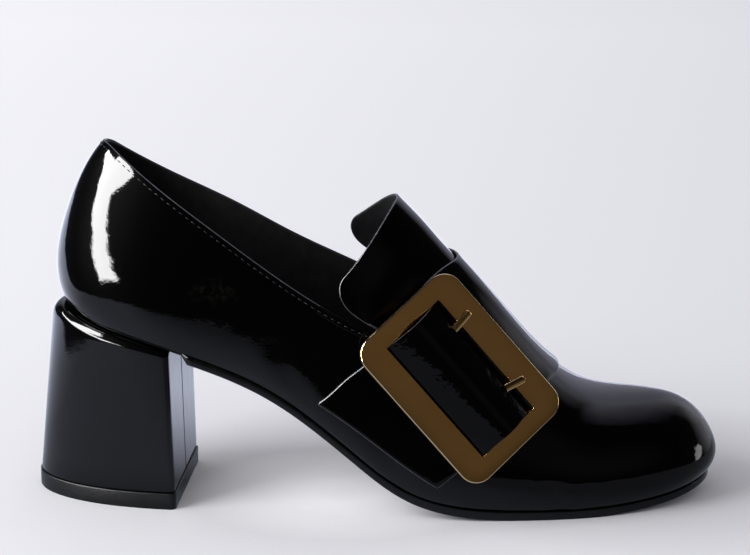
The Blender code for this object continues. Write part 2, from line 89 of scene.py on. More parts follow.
def through_points(rows, closed):
    """The control points of the uniform cubic spline that passes through these rows."""
    rows = np.asarray(rows, float)
    count = len(rows)
    weights = 4 * np.eye(count)
    for i in range(count):
        for j in (i - 1, i + 1):
            if closed:
                weights[i, j % count] += 1
            elif 0 < i < count - 1:
                weights[i, j] = 1
    if not closed:
        weights[0, 0] = weights[-1, -1] = 6
    return np.linalg.solve(weights / 6, rows.reshape(count, -1)).reshape(rows.shape)


def spline_shares(t):
    """Weights of the four control points round a place on a uniform cubic spline."""
    return (
        (1 - t) ** 3 / 6,
        (3 * t**3 - 6 * t**2 + 4) / 6,
        (-3 * t**3 + 3 * t**2 + 3 * t + 1) / 6,
        t**3 / 6,
    )


def open_spline(rows, places):
    """Points of the natural spline through these rows, at places counted in rows."""
    inner = through_points(rows, closed=False)
    controls = np.concatenate(([2 * inner[0] - inner[1]], inner, [2 * inner[-1] - inner[-2]]))
    places = np.clip(np.asarray(places, float), 0, len(inner) - 1 - JUST_INSIDE)
    whole = np.floor(places).astype(int)
    t = (places - whole)[..., None]
    return sum(share * controls[whole + k] for k, share in enumerate(spline_shares(t)))


def section_controls(section, side_y):
    """One side's profile at a section, five control points from foot to head."""
    foot = np.array((section.x, side_y))
    head = np.array((section.head_x, section.head_y))
    reach = np.linalg.norm(foot - head)
    outward = (foot - head) / reach
    across = np.array((0.0, np.sign(side_y - section.head_y)))
    crown = outward + section.level * (across - outward)
    low_z = section.foot_z + LOW_SHARE * (section.mid_z - section.foot_z)
    return [
        (*foot, section.foot_z),
        (*(head + (reach + section.low_out) * outward), low_z),
        (*(head + (reach + section.mid_out) * outward), section.mid_z),
        (*(head + section.top_in * crown), section.head_z),
        (*head, section.head_z),
    ]


LATERAL = [section_controls(s, s.lateral) for s in SECTIONS]
MEDIAL = [section_controls(s, s.medial) for s in SECTIONS[-2:0:-1]]
LAST = through_points(LATERAL + MEDIAL, closed=True)


def profile_shares(u):
    """Weights of a clamped cubic profile with five control points, foot to head."""
    v = np.minimum(u, 1 - u)
    low = np.stack((
        (1 - 2 * v) ** 3,
        2 * v * (7 * v * v - 9 * v + 3),
        2 * v * v * (3 - 4 * v),
        2 * v**3,
        0 * v,
    ), -1)
    return np.where((u > 0.5)[..., None], low[..., ::-1], low)


def last_point(place, u):
    """Points of the last: place counts sections round the loop, u runs from foot to head."""
    place, u = np.broadcast_arrays(np.asarray(place, float) % LOOP, np.asarray(u, float))
    whole = np.floor(place).astype(int)
    t = (place - whole)[..., None, None]
    controls = sum(share * LAST[(whole + k - 1) % LOOP] for k, share in enumerate(spline_shares(t)))
    return (profile_shares(u)[..., None] * controls).sum(-2)


def arch_point(station, arch):
    """Points of the last by station and by arch: -1 lateral foot, 0 ridge, 1 medial foot."""
    lateral = last_point(station, 1 + np.minimum(arch, 0))
    medial = last_point(-np.asarray(station), 1 - np.maximum(arch, 0))
    return np.where((np.asarray(arch) <= 0)[..., None], lateral, medial)


SHORTEST = 1e-9


def unit(vectors):
    """The same directions with a length of one; a vector without length stays as it is."""
    return vectors / np.maximum(np.linalg.norm(vectors, axis=-1, keepdims=True), SHORTEST)


SURFACE_STEP = 0.004


def outward(station, arch):
    """The last's outward normal."""
    along = arch_point(station + SURFACE_STEP, arch) - arch_point(station - SURFACE_STEP, arch)
    round_foot = arch_point(station, arch + SURFACE_STEP) - arch_point(station, arch - SURFACE_STEP)
    return unit(np.cross(along, round_foot))


def lifted(station, arch, lift):
    """Points at a height over the last's surface."""
    station, arch, lift = np.broadcast_arrays(*(np.asarray(v, float) for v in (station, arch, lift)))
    return arch_point(station, arch) + lift[..., None] * outward(station, arch)


def ease(value, start, end):
    """A smooth step from 0 at start to 1 at end."""
    t = np.clip((np.asarray(value, float) - start) / (end - start), 0, 1)
    return t * t * (3 - 2 * t)


# A crease has a half width and a height, which is negative for a trough
Crease = namedtuple("Crease", "start end width height")
CREASE_STEPS = 12


def straight(start, end):
    return np.linspace(start, end, CREASE_STEPS)


def on_last(start, end):
    """A line over the last between two places given by station and arch."""
    return arch_point(*straight(start, end).T)


def crease_lift(points, creases, line):
    """The rise of soft ridges and fall of soft troughs at points; line gives the places along a crease."""
    rise = np.zeros(points.shape[:-1])
    for crease in creases:
        places = line(crease.start, crease.end)
        away = np.min([np.linalg.norm(points - place, axis=-1) for place in places], axis=0)
        rise += crease.height * np.exp(-((away / crease.width) ** 2))
    return rise


HALVINGS = 40


def collar_arch(station, side):
    """The arch of the collar's edge on one side (-1 lateral, 1 medial), 0 in front of the throat."""
    station = np.asarray(station, float)
    behind = np.minimum(station, THROAT_START)
    heights = open_spline([row[1:] for row in COLLAR], behind)[..., int(side > 0)]
    low, high = np.zeros_like(heights), np.ones_like(heights)
    for _ in range(HALVINGS):
        middle = (low + high) / 2
        below = arch_point(behind, side * (1 - middle))[..., 2] < heights
        low, high = np.where(below, middle, low), np.where(below, high, middle)
    share = np.clip((station - THROAT_START) / (THROAT_STATION - THROAT_START), 0, 1)
    return side * (1 - high) * np.sqrt(1 - share**2)


# MESHES

WELD = 0.002
RIM_STEPS = 5
RIM_TURNS = np.linspace(0, pi, RIM_STEPS + 1)[1:-1]
# Materials of the rim's steps from the outer face to the inner: the second and third take the pale edge
# finish, a painted highlight line
RIM_FINISH = (0, 2, 2, 1, 1)


def mesh_piece(name, points, faces, materials, node=None, weld=True, finish=None, sharp=None):
    """A smooth piece, from points in millimetres, that rides on the shoe and may stand for a CAD node.

    finish numbers each face's material, and edges are sharp over an angle in degrees.
    """
    mesh = bpy.data.meshes.new(name)
    mesh.from_pydata((np.asarray(points, float).reshape(-1, 3) * MM).tolist(), [], faces)
    if finish is not None:
        mesh.polygons.foreach_set("material_index", np.asarray(finish, dtype=np.int32))
    bm = bmesh.new()
    bm.from_mesh(mesh)
    if weld:
        bmesh.ops.remove_doubles(bm, verts=bm.verts, dist=WELD * MM)
        bmesh.ops.dissolve_degenerate(bm, edges=bm.edges, dist=WELD / 2 * MM)
    bmesh.ops.recalc_face_normals(bm, faces=bm.faces)
    bm.to_mesh(mesh)
    bm.free()
    mesh.shade_smooth()
    if sharp:
        mesh.set_sharp_from_angle(angle=radians(sharp))
    for material in materials:
        mesh.materials.append(material)
    piece = bpy.data.objects.new(name, mesh)
    bpy.context.scene.collection.objects.link(piece)
    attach(piece, "root")
    if node:
        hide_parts(node)


def strips(columns, rows, wrap=False, start=0):
    """Quads of a grid of points stored column by column."""
    faces = []
    for i in range(columns if wrap else columns - 1):
        for j in range(rows - 1):
            a = start + i * rows + j
            b = start + (i + 1) % columns * rows + j
            faces.append((a, b, b + 1, a + 1))
    return faces


def underside(faces, count):
    """The same faces on the next so many points, turned over."""
    return [tuple(count + k for k in face[::-1]) for face in faces]


def bridge(upper, lower, wrap=False):
    """Quads between two chains of points of equal count."""
    upper, lower = [int(k) for k in upper], [int(k) for k in lower]
    if wrap:
        upper, lower = upper + upper[:1], lower + lower[:1]
    return [(upper[i], lower[i], lower[i + 1], upper[i + 1]) for i in range(len(upper) - 1)]


def chain_faces(chains, wrap=False):
    """Quads between each chain of points and the next."""
    faces = []
    for upper, lower in zip(chains, chains[1:]):
        faces += bridge(upper, lower, wrap)
    return faces


def loft_faces(rings, count, start=0):
    """Faces of a loft through rings of equal count, with a cap at both ends."""
    rows = (start + np.arange(rings * count).reshape(rings, count)).tolist()
    return chain_faces(rows, wrap=True) + [tuple(rows[0]), tuple(rows[-1])]


def border(columns, rows):
    """The numbers of a grid's border points, in order round it."""
    index = np.arange(columns * rows).reshape(columns, rows)
    return np.concatenate((index[:, 0], index[-1, 1:], index[-2::-1, -1], index[0, -2:0:-1]))


def round_edge(radius, steps):
    """Steps over a rounded edge from face to side: how far in from the side and down from the face."""
    return [(radius * (1 - sin(t)), radius * (1 - cos(t))) for t in np.linspace(0, pi / 2, steps)]


def leaf(name, grid, thick, materials, node=None):
    """A closed sheet with a rounded rim all round, from the grid of its middle surface.

    Its materials are the outer face's, the inner face's and the rim's.
    """
    columns, rows = grid.shape[:2]
    count = columns * rows
    normal = unit(np.cross(np.gradient(grid, axis=0), np.gradient(grid, axis=1)))
    half = thick / 2
    rim = border(columns, rows)
    middle, up = grid.reshape(-1, 3)[rim], normal.reshape(-1, 3)[rim]
    along = unit(np.roll(middle, -1, axis=0) - np.roll(middle, 1, axis=0))
    out = unit(np.cross(along, up))
    points = [(grid + half * normal).reshape(-1, 3), (grid - half * normal).reshape(-1, 3)]
    arcs = [rim]
    for k, turn in enumerate(RIM_TURNS):
        points.append(middle + half * (sin(turn) * out + cos(turn) * up))
        arcs.append(2 * count + k * len(rim) + np.arange(len(rim)))
    arcs.append(count + rim)
    top = strips(columns, rows)
    faces = top + underside(top, count) + chain_faces(arcs, wrap=True)
    finish = np.repeat((0, 1) + RIM_FINISH, (len(top), len(top)) + (len(rim),) * RIM_STEPS)
    mesh_piece(name, np.concatenate(points), faces, materials, node, weld=False, finish=finish)


# MATERIALS

# A drift goes from low to high with a noise of so many features a metre
Drift = namedtuple("Drift", "scale detail low high")
Grain = namedtuple("Grain", "scale detail height")


class Nodes:
    """A material's node tree, with short calls to add and link nodes."""

    def __init__(self, name):
        self.material = bpy.data.materials.new(name)
        self.material.use_nodes = True
        self.tree = self.material.node_tree
        self.shader = self.tree.nodes["Principled BSDF"]
        self.place = self.add("ShaderNodeTexCoord").outputs["Object"]

    def add(self, kind, **values):
        node = self.tree.nodes.new(kind)
        for key, value in values.items():
            setattr(node, key, value)
        return node

    def link(self, source, target):
        self.tree.links.new(source, target)

    def set(self, **values):
        """Constant values of the shader, by the names of its inputs."""
        for key, value in values.items():
            self.shader.inputs[key.replace("_", " ")].default_value = value

    def feed(self, **sources):
        """Outputs that the shader takes values from, by the names of its inputs."""
        for key, source in sources.items():
            self.link(source, self.shader.inputs[key.replace("_", " ")])

    def show(self, surface):
        """A surface in place of the shader."""
        self.link(surface, self.tree.nodes["Material Output"].inputs["Surface"])
        self.tree.nodes.remove(self.shader)

    def noise(self, scale, detail=2.0):
        """A noise of so many features a metre."""
        texture = self.add("ShaderNodeTexNoise")
        texture.inputs["Scale"].default_value = scale
        texture.inputs["Detail"].default_value = detail
        self.link(self.place, texture.inputs["Vector"])
        return texture.outputs["Fac"]

    def axes(self):
        """A place's X, Y and Z."""
        parts = self.add("ShaderNodeSeparateXYZ")
        self.link(self.place, parts.inputs["Vector"])
        return parts.outputs

    def calculate(self, operation, *values):
        node = self.add("ShaderNodeMath", operation=operation)
        for value, target in zip(values, node.inputs):
            self.link(value, target)
        return node.outputs["Value"]

    def nearness(self, middle=(0, 0, 0), reach=(1, 1, 1)):
        """How far a place lies from a middle, counted in a reach for each axis."""
        offset = self.add("ShaderNodeVectorMath", operation="SUBTRACT")
        self.link(self.place, offset.inputs[0])
        offset.inputs[1].default_value = middle
        scaled = self.add("ShaderNodeVectorMath", operation="DIVIDE")
        self.link(offset.outputs["Vector"], scaled.inputs[0])
        scaled.inputs[1].default_value = reach
        away = self.add("ShaderNodeVectorMath", operation="LENGTH")
        self.link(scaled.outputs["Vector"], away.inputs[0])
        return away.outputs["Value"]

    def ramp(self, value, low, high, start=0.3, end=0.7):
        """A value or colour that goes from low to high as value goes from start to end."""
        if np.ndim(low):
            ramp = self.add("ShaderNodeValToRGB")
            for stop, place, colour in zip(ramp.color_ramp.elements, (start, end), (low, high)):
                stop.position = place
                stop.color = (*colour, 1)
            self.link(value, ramp.inputs["Fac"])
            return ramp.outputs["Color"]
        ramp = self.add("ShaderNodeMapRange")
        for key, number in zip(("From Min", "From Max", "To Min", "To Max"), (start, end, low, high)):
            ramp.inputs[key].default_value = number
        self.link(value, ramp.inputs["Value"])
        return ramp.outputs["Result"]

    def drift(self, row):
        return self.ramp(self.noise(row.scale, row.detail), row.low, row.high)

    def bump(self, grain, under=None):
        """A bump of a grain whose full height is in metres, on top of another one."""
        bump = self.add("ShaderNodeBump")
        bump.inputs["Distance"].default_value = grain.height
        self.link(self.noise(grain.scale, grain.detail), bump.inputs["Height"])
        if under:
            self.link(under, bump.inputs["Normal"])
        return bump.outputs["Normal"]


# A fade is given as a ramp's low and high values and its start and end
SCUFF = (0.04, -0.028, 0.082)
SCUFF_REACH = (0.012, 0.006, 0.006)
SCUFF_FADE = (1, 0, 0.15, 1)
SCUFF_NOISE = (480, 5)
SCUFF_PATCHES = (0, 1, 0.48, 0.66)
SCUFF_TONES = ((0.0002, 0.0002, 0.0003), (0.0055, 0.0046, 0.003))
LACQUER_TONES = Drift(60, 2, (0.0001, 0.0001, 0.00015), (0.0004, 0.0004, 0.0006))
SWELL = Grain(110, 1, 0.0001)
RIPPLES = Grain(330, 1.5, 0.0001)
DIMPLES = Grain(1300, 3, 0.000014)
GILT_GRAIN = Grain(300, 1, 0.000004)


def patent_leather(name, swell=1.0, ripples=0.0, scuffed=False):
    """Black leather under a thick clear lacquer that dimples a little and may ripple or be scuffed brown."""
    n = Nodes(name)
    if scuffed:
        near = n.ramp(n.nearness(SCUFF, SCUFF_REACH), *SCUFF_FADE)
        patchy = n.ramp(n.noise(*SCUFF_NOISE), *SCUFF_PATCHES)
        tone = n.ramp(n.calculate("MULTIPLY", near, patchy), *SCUFF_TONES, 0, 1)
    else:
        tone = n.drift(LACQUER_TONES)
    n.feed(Base_Color=tone)
    n.set(Roughness=0.4, IOR=1.3, Specular_IOR_Level=0.02)
    n.set(Coat_Weight=1.0, Coat_Roughness=0.012, Coat_IOR=1.36)
    wave = n.bump(SWELL._replace(height=SWELL.height * swell))
    if ripples:
        wave = n.bump(RIPPLES._replace(height=RIPPLES.height * ripples), wave)
    dimpled = n.bump(DIMPLES, wave)
    n.feed(Normal=dimpled, Coat_Normal=dimpled)
    return n.material


def plain_finish(name, tone, rough, grain, specular=0.5, metallic=0.0):
    """A finish without a coat, whose tone drifts over a fine grain; its roughness drifts or is one value."""
    n = Nodes(name)
    n.feed(Base_Color=n.drift(tone), Normal=n.bump(grain))
    n.set(Specular_IOR_Level=specular, Metallic=metallic)
    if isinstance(rough, Drift):
        n.feed(Roughness=n.drift(rough))
    else:
        n.set(Roughness=rough)
    return n.material


def gilt_metal(name, low, high, darker, paler):
    """Gold-plated metal whose roughness drifts between low and high and its colour from darker to paler."""
    tone = Drift(scale=90, detail=2, low=darker, high=paler)
    rough = Drift(scale=120, detail=2, low=low, high=high)
    return plain_finish(name, tone, rough, GILT_GRAIN, metallic=1.0)


PATENT = patent_leather("patent_leather", ripples=0.25)
UPPER_PATENT = patent_leather("upper_patent_leather", ripples=0.25, scuffed=True)
HEEL_PATENT = patent_leather("heel_patent_leather", swell=0.8)
BAND_PATENT = patent_leather("band_patent_leather", swell=1.5, ripples=1.3)
LINING = plain_finish(
    "lining_leather",
    tone=Drift(400, 4, (0.004, 0.004, 0.005), (0.009, 0.009, 0.011)),
    rough=Drift(300, 3, 0.45, 0.62),
    grain=Grain(1500, 4, 0.00005),
    specular=0.25,
)
# The raw cut edge of the leather is paler and duller than the lacquer, and this pale finish also paints the
# thin highlight line along the rims
CUT_EDGE_AND_HIGHLIGHT = plain_finish(
    "leather_cut_edge_and_painted_highlight",
    tone=Drift(900, 3, (0.034, 0.033, 0.038), (0.085, 0.083, 0.096)),
    rough=Drift(700, 2, 0.3, 0.45),
    grain=Grain(2500, 2, 0.00003),
)
SOLE = plain_finish(
    "sole_leather",
    tone=Drift(250, 3, (0.001, 0.001, 0.0012), (0.003, 0.003, 0.0034)),
    rough=Drift(500, 3, 0.12, 0.25),
    grain=Grain(1400, 3, 0.00002),
    specular=0.3,
)
RUBBER = plain_finish(
    "heel_rubber",
    tone=Drift(500, 4, (0.003, 0.003, 0.0034), (0.006, 0.006, 0.0065)),
    rough=Drift(600, 3, 0.28, 0.42),
    grain=Grain(1800, 3, 0.00003),
    specular=0.22,
)
THREAD = plain_finish(
    "black_thread",
    tone=Drift(3000, 2, (0.004, 0.004, 0.0045), (0.012, 0.012, 0.013)),
    rough=0.5,
    grain=Grain(5000, 2, 0.00004),
    specular=0.2,
)
GILT = gilt_metal("gilt_metal", 0.16, 0.2, (0.88, 0.46, 0.125), (0.94, 0.5, 0.145))
# The polished gilt is paler than the face: besides its polish it paints bright highlights on the frame's
# outer edge and the prongs' flanks
POLISHED_HIGHLIGHT = gilt_metal("polished_gilt_painted_highlight", 0.05, 0.09, (0.96, 0.74, 0.4), (1.0, 0.8, 0.46))
# The dull gilt is near black, painted shade on the frame's back and inner walls
GILT_SHADE = gilt_metal("gilt_painted_shade", 0.45, 0.6, (0.04, 0.02, 0.008), (0.07, 0.035, 0.012))
# The prong's top is darker than its flanks, painted shade
PRONG_TOP_SHADE = gilt_metal("prong_top_painted_shade", 0.12, 0.2, (0.42, 0.24, 0.07), (0.5, 0.3, 0.1))


# UPPER

SKIN = 0.85
LINING_IN = (0.9, 1.6)
STATION_STEPS = 12
THROAT_STEPS = 30
THROAT_CLEAR = 0.03
WALL_ROWS = 44
INNER_ROWS = 14
# The collar's rim takes the pale edge finish, a painted highlight line, except on the lateral side in front
# of this station
EDGE_HIGHLIGHT_STATION = 5.5
UPPER_CREASES = (
    Crease((10.0, -0.22), (9.9, -0.45), 8.0, -0.4),
    Crease((9.35, -0.93), (9.2, -0.8), 3.0, -0.25),
    Crease((9.6, -0.95), (9.52, -0.84), 2.6, 0.2),
    Crease((9.05, -0.95), (8.9, -0.86), 2.6, 0.18),
    Crease((8.3, -0.94), (8.1, -0.86), 3.2, -0.22),
    Crease((6.9, -0.9), (6.5, -0.72), 4.0, -0.3),
    Crease((5.2, -0.75), (4.8, -0.6), 5.0, -0.25),
    Crease((9.9, 0.25), (9.8, 0.5), 8.0, -0.4),
    Crease((6.9, 0.9), (6.5, 0.72), 4.0, -0.3),
)


def half_stations():
    """Stations along one side, closer together where the collar turns over the throat."""
    even = np.linspace(0, LAST_STATION, LAST_STATION * STATION_STEPS + 1)
    even = even[(even < THROAT_START - THROAT_CLEAR) | (even > THROAT_STATION + THROAT_CLEAR)]
    turn = np.sin(np.linspace(0, pi / 2, THROAT_STEPS + 1))
    return np.sort(np.concatenate((even, THROAT_START + (THROAT_STATION - THROAT_START) * turn)))


def wall(stations, sides, lift, rows):
    """Points of the upper's wall from foot to collar, a column for each station."""
    tops = np.where(sides < 0, collar_arch(stations, -1), collar_arch(stations, 1))
    arch = sides[:, None] + (tops - sides)[:, None] * np.linspace(0, 1, rows)
    station = np.repeat(stations[:, None], rows, 1)
    return lifted(station, arch, lift + crease_lift(arch_point(station, arch), UPPER_CREASES, on_last))


def upper_shell(name, outer_lift, inner_lift, materials, node=None):
    """One layer of the upper's wall, closed at the foot and with a rounded edge at the collar.

    Returns the collar's edge, its upward and outward directions and its places, lateral ones negative.
    """
    half = half_stations()
    stations = np.concatenate((half, half[-2:0:-1]))
    sides = np.concatenate((-np.ones(len(half)), np.ones(len(half) - 2)))
    outer = wall(stations, sides, outer_lift, WALL_ROWS)
    inner = wall(stations, sides, inner_lift, INNER_ROWS)
    count = len(stations)
    collar = [i for i in range(count) if stations[i] <= THROAT_STATION + JUST_INSIDE]
    first = next(k for k, i in enumerate(collar) if k and i != collar[k - 1] + 1)
    collar = np.array(collar[first:] + collar[:first])
    edge, under = outer[collar, -1], inner[collar, -1]
    along = unit(np.gradient(edge, axis=0))
    up = unit(edge - under)
    out = unit(np.cross(up, along))
    out *= np.sign((out * (edge - outer[collar, -2])).sum(-1, keepdims=True))
    half_thick = np.linalg.norm(edge - under, axis=1, keepdims=True) / 2
    points = [outer.reshape(-1, 3), inner.reshape(-1, 3)]
    inner_start = count * WALL_ROWS
    arcs = [collar * WALL_ROWS + WALL_ROWS - 1]
    for k, turn in enumerate(RIM_TURNS):
        points.append((edge + under) / 2 + half_thick * (cos(turn) * up + sin(turn) * out))
        arcs.append(inner_start + count * INNER_ROWS + k * len(collar) + np.arange(len(collar)))
    arcs.append(inner_start + collar * INNER_ROWS + INNER_ROWS - 1)
    faces = strips(count, WALL_ROWS, wrap=True)
    faces += [face[::-1] for face in strips(count, INNER_ROWS, wrap=True, start=inner_start)]
    rim = len(faces)
    faces += chain_faces(arcs)
    columns = np.arange(count)
    faces += bridge(columns * WALL_ROWS, inner_start + columns * INNER_ROWS, wrap=True)
    finish = np.zeros(len(faces))
    # On the leather layer the rim's second and third steps take the pale edge finish, a painted highlight
    # line along the collar
    place = stations[collar] * sides[collar]
    pale = np.where(place[:-1] > -EDGE_HIGHLIGHT_STATION, len(materials) - 1, 0)
    finish[rim + len(pale):rim + 3 * len(pale)] = np.tile(pale, 2)
    mesh_piece(name, np.concatenate(points), faces, materials, node, finish=finish)
    return edge, up, out, place


collar_edge, collar_up, collar_out, collar_place = upper_shell(
    "upper_leather", 0.0, -SKIN, (UPPER_PATENT, CUT_EDGE_AND_HIGHLIGHT), "upper")
upper_shell("upper_lining", -LINING_IN[0], -LINING_IN[1], (LINING,))


# SOLE AND INSOLE

SOLE_THICK = 3.0
SOLE_SKIVED = 1.0
SOLE_EDGE_OUT = 0.5
SOLE_EDGE_IN = 1.6
SOLE_TOE_THIN = 1.1
SOLE_TOE_STATIONS = (10, 13)
SKIVE_STATIONS = (3.2, 3.3)
SOLE_EDGE = 0.25
SOLE_SEAM = 0.06
INSOLE_THICK = 2.0
INSOLE_INSET = 2.4
INSOLE_EDGE = 0.6
PLATE_EDGE_STEPS = 4
SOLE_STEPS = 10
ACROSS_STEPS = 16
PLAN_STEP = 0.02
SOLE_STATIONS = np.union1d(np.linspace(0, LAST_STATION, LAST_STATION * SOLE_STEPS + 1), SKIVE_STATIONS)


def outline(place, out, lift):
    """Points of the sole's edge, moved out along the plan's normal and kept over the floor."""
    ahead = last_point(place + PLAN_STEP, 0) - last_point(place - PLAN_STEP, 0)
    side = unit(np.stack((ahead[..., 1], -ahead[..., 0], 0 * ahead[..., 0]), -1))
    points = last_point(place, 0) + out[..., None] * side
    points[..., 2] = np.maximum(points[..., 2] + lift, 0)
    return points


def plate(name, layers, material, node):
    """A sole-shaped plate from layers of (edge out, lift) by station, top to bottom."""
    shares = np.linspace(0, 1, ACROSS_STEPS + 1)
    columns, rows = len(SOLE_STATIONS), len(shares)
    rings = [[outline(side * SOLE_STATIONS, out, lift) for side in (1, -1)] for out, lift in layers]
    points = []
    for lateral, medial in (rings[0], rings[-1]):
        points.append((lateral[:, None] + shares[:, None] * (medial - lateral)[:, None]).reshape(-1, 3))
    top = strips(columns, rows)
    faces = top + underside(top, columns * rows)
    for side, edge in ((0, 0), (1, rows - 1)):
        rim = np.arange(columns) * rows + edge
        chain = [rim]
        for pair in rings[1:-1]:
            chain.append(sum(len(p) for p in points) + np.arange(columns))
            points.append(pair[side])
        faces += chain_faces(chain + [rim + columns * rows])
    mesh_piece(name, np.concatenate(points), faces, (material,), node)


def make_outsole():
    tucked = np.interp(SOLE_STATIONS, SKIVE_STATIONS, (1, 0))
    out = SOLE_EDGE_OUT - tucked * (SOLE_EDGE_OUT + SOLE_EDGE_IN)
    thick = SOLE_THICK + tucked * (SOLE_SKIVED - SOLE_THICK)
    thick -= np.interp(SOLE_STATIONS, SOLE_TOE_STATIONS, (0, SOLE_TOE_THIN))
    edge = round_edge(SOLE_EDGE, PLATE_EDGE_STEPS)
    layers = [(out - inset, -SOLE_SEAM - drop) for inset, drop in edge]
    layers += [(out - inset, drop - GAP - thick) for inset, drop in edge[::-1]]
    plate("sole_plate", layers, SOLE, "outsole")


def make_insole():
    out = -INSOLE_INSET * np.ones_like(SOLE_STATIONS)
    rim = round_edge(INSOLE_EDGE, PLATE_EDGE_STEPS)
    layers = [(out - inset, INSOLE_THICK - drop) for inset, drop in rim]
    plate("sock_lining", layers + [(out, 0.0)], LINING, "insole")


make_outsole()
make_insole()


# HEEL

HEEL_TURN = -4.4
TOP_PIECE_THICK = 6.0
HEEL_BREAST_FOOT = 26.7
HEEL_BREAST_HEAD = 25.6
HEEL_BACK_FOOT = -26.6
HEEL_BACK_HEAD = -20.6
HEEL_HALF_FOOT = 25.3
HEEL_HALF_HEAD = 26.2
HEEL_ROUND = 2.2
SHOULDER_BACK = 5.2
SHOULDER_BREAST = 1.6
SHOULDER_MIDDLE = 5.6
SHOULDER_FROM_BREAST = 12.0
SHOULDER_FROM_SEAM = 8.0
HEEL_CORNER = 2.0
HEEL_EDGE = 0.5
HEEL_GROOVE = 0.25
SEAM_DEPTH = 0.4
SEAM_HALF_WIDTH = 0.35
TOP_PIECE_PROUD = 0.5
TOP_PIECE_EDGE = 0.3
HEEL_CREASES = (
    Crease((-15.5, -20.5, 64.5), (-12.5, -22.5, 58.0), 1.5, -0.16),
    Crease((-12.0, -22.6, 63.0), (-9.5, -24.0, 57.5), 1.4, -0.13),
    Crease((-17.5, -18.0, 62.0), (-15.5, -20.0, 55.5), 1.6, 0.14),
    Crease((-8.5, -24.5, 62.0), (-6.5, -25.0, 57.5), 1.3, -0.1),
)
SIDE_STEPS = 120
CORNER_STEPS = 8
BREAST_STEPS = 12
SEAM_STEPS = 29
SEAM_SHARES = (0.08, 0.07)
HEEL_RINGS = 40
SHOULDER_STEPS = 12
HEEL_EDGE_STEPS = 5
HEEL_SHARP = 50
SEAT_STATIONS = np.linspace(0, 5, 61)


def heel_plan(back, breast, half_width):
    """The heel's plan in its own frame: round at the back, flat at the breast, with rounded corners."""
    length = breast - back
    widest = np.arccos((HEEL_CORNER / length) ** (HEEL_ROUND / 2))
    turns = np.linspace(-widest, widest, SIDE_STEPS + 1)
    side = np.stack((breast - length * np.cos(turns) ** (2 / HEEL_ROUND),
                     half_width * np.sin(turns) / sin(widest)), -1)
    bend = np.linspace(0, pi / 2, CORNER_STEPS + 1)[1:]
    flat = half_width - HEEL_CORNER
    corner = np.stack((breast - HEEL_CORNER + HEEL_CORNER * np.sin(bend),
                       flat + HEEL_CORNER * np.cos(bend)), -1)
    wide = np.linspace(1, SEAM_SHARES[0], BREAST_STEPS)[1:]
    near_seam = np.linspace(SEAM_SHARES[1], -SEAM_SHARES[1], SEAM_STEPS)
    across = np.concatenate((wide, near_seam, -wide[::-1]))
    face = np.stack((np.full(len(across), breast), flat * across), -1)
    return np.concatenate((side, corner, face, (corner * (1, -1))[::-1]))


def turned(plan):
    turn = radians(HEEL_TURN)
    return plan @ np.array(((cos(turn), sin(turn)), (-sin(turn), cos(turn))))


def seat_height(x):
    """The height of the skived sole's underside along the heel seat."""
    spine = (last_point(SEAT_STATIONS, 0) + last_point(-SEAT_STATIONS, 0)) / 2
    return np.interp(x, spine[:, 0], spine[:, 2]) - GAP - SOLE_SKIVED - GAP


def shrunk(plan, inset):
    """A plan drawn in along its own normals."""
    along = np.roll(plan, -1, axis=0) - np.roll(plan, 1, axis=0)
    return plan + inset * unit(np.stack((along[:, 1], -along[:, 0]), -1))


def level_ring(plan, height):
    return np.hstack((plan, np.broadcast_to(np.reshape(height, (-1, 1)), (len(plan), 1))))


def edge_ring(plan, inset, height):
    """A ring of the heel's plan at a height, drawn in by an inset."""
    return level_ring(turned(shrunk(plan, inset)), height)


def heel_loft(name, rings, material, node):
    faces = loft_faces(len(rings), len(rings[0]))
    mesh_piece(name, np.concatenate(rings), faces, (material,), node, sharp=HEEL_SHARP)


def make_heel_cover():
    """The cover from the heel seat over its shoulder, down the wall and round its lower edge."""
    head = heel_plan(HEEL_BACK_HEAD, HEEL_BREAST_HEAD, HEEL_HALF_HEAD)
    foot = heel_plan(HEEL_BACK_FOOT, HEEL_BREAST_FOOT, HEEL_HALF_FOOT)
    middle = np.array((SHOULDER_MIDDLE, 0))
    from_breast = ease(HEEL_BREAST_HEAD - head[:, 0], 0, SHOULDER_FROM_BREAST)
    inward = middle - head
    inward[:, 0] *= from_breast
    inward = unit(inward) * np.minimum(1, np.abs(head[:, 1:]) / SHOULDER_FROM_SEAM + from_breast[:, None])
    toward_back = ((HEEL_BREAST_HEAD - head[:, 0]) / (HEEL_BREAST_HEAD - HEEL_BACK_HEAD))[:, None]
    shoulder = SHOULDER_BREAST + (SHOULDER_BACK - SHOULDER_BREAST) * toward_back
    seam = SEAM_DEPTH * np.exp(-((head[:, 1] / SEAM_HALF_WIDTH) ** 2)) * (head[:, 0] > 0)
    head[:, 0] -= seam
    foot[:, 0] -= seam
    rings = []
    for inset, drop in round_edge(1, SHOULDER_STEPS + 1):
        plan = turned(head + shoulder * inset * inward)
        rings.append(level_ring(plan, seat_height(plan[:, 0])[:, None] - shoulder * drop))
    floor = TOP_PIECE_THICK + HEEL_GROOVE
    top, low = rings[-1], level_ring(turned(foot), floor + HEEL_EDGE)
    rings += [top + (low - top) * share for share in np.linspace(0, 1, HEEL_RINGS + 1)[1:]]
    away = level_ring(unit(turned(head) - turned(middle)), 0.0)
    rings = [ring + crease_lift(ring, HEEL_CREASES, straight)[:, None] * away for ring in rings]
    lower_edge = round_edge(HEEL_EDGE, HEEL_EDGE_STEPS)[-2::-1]
    rings += [edge_ring(foot, inset, floor + drop) for inset, drop in lower_edge]
    heel_loft("heel_cover", rings, HEEL_PATENT, "heel_block")


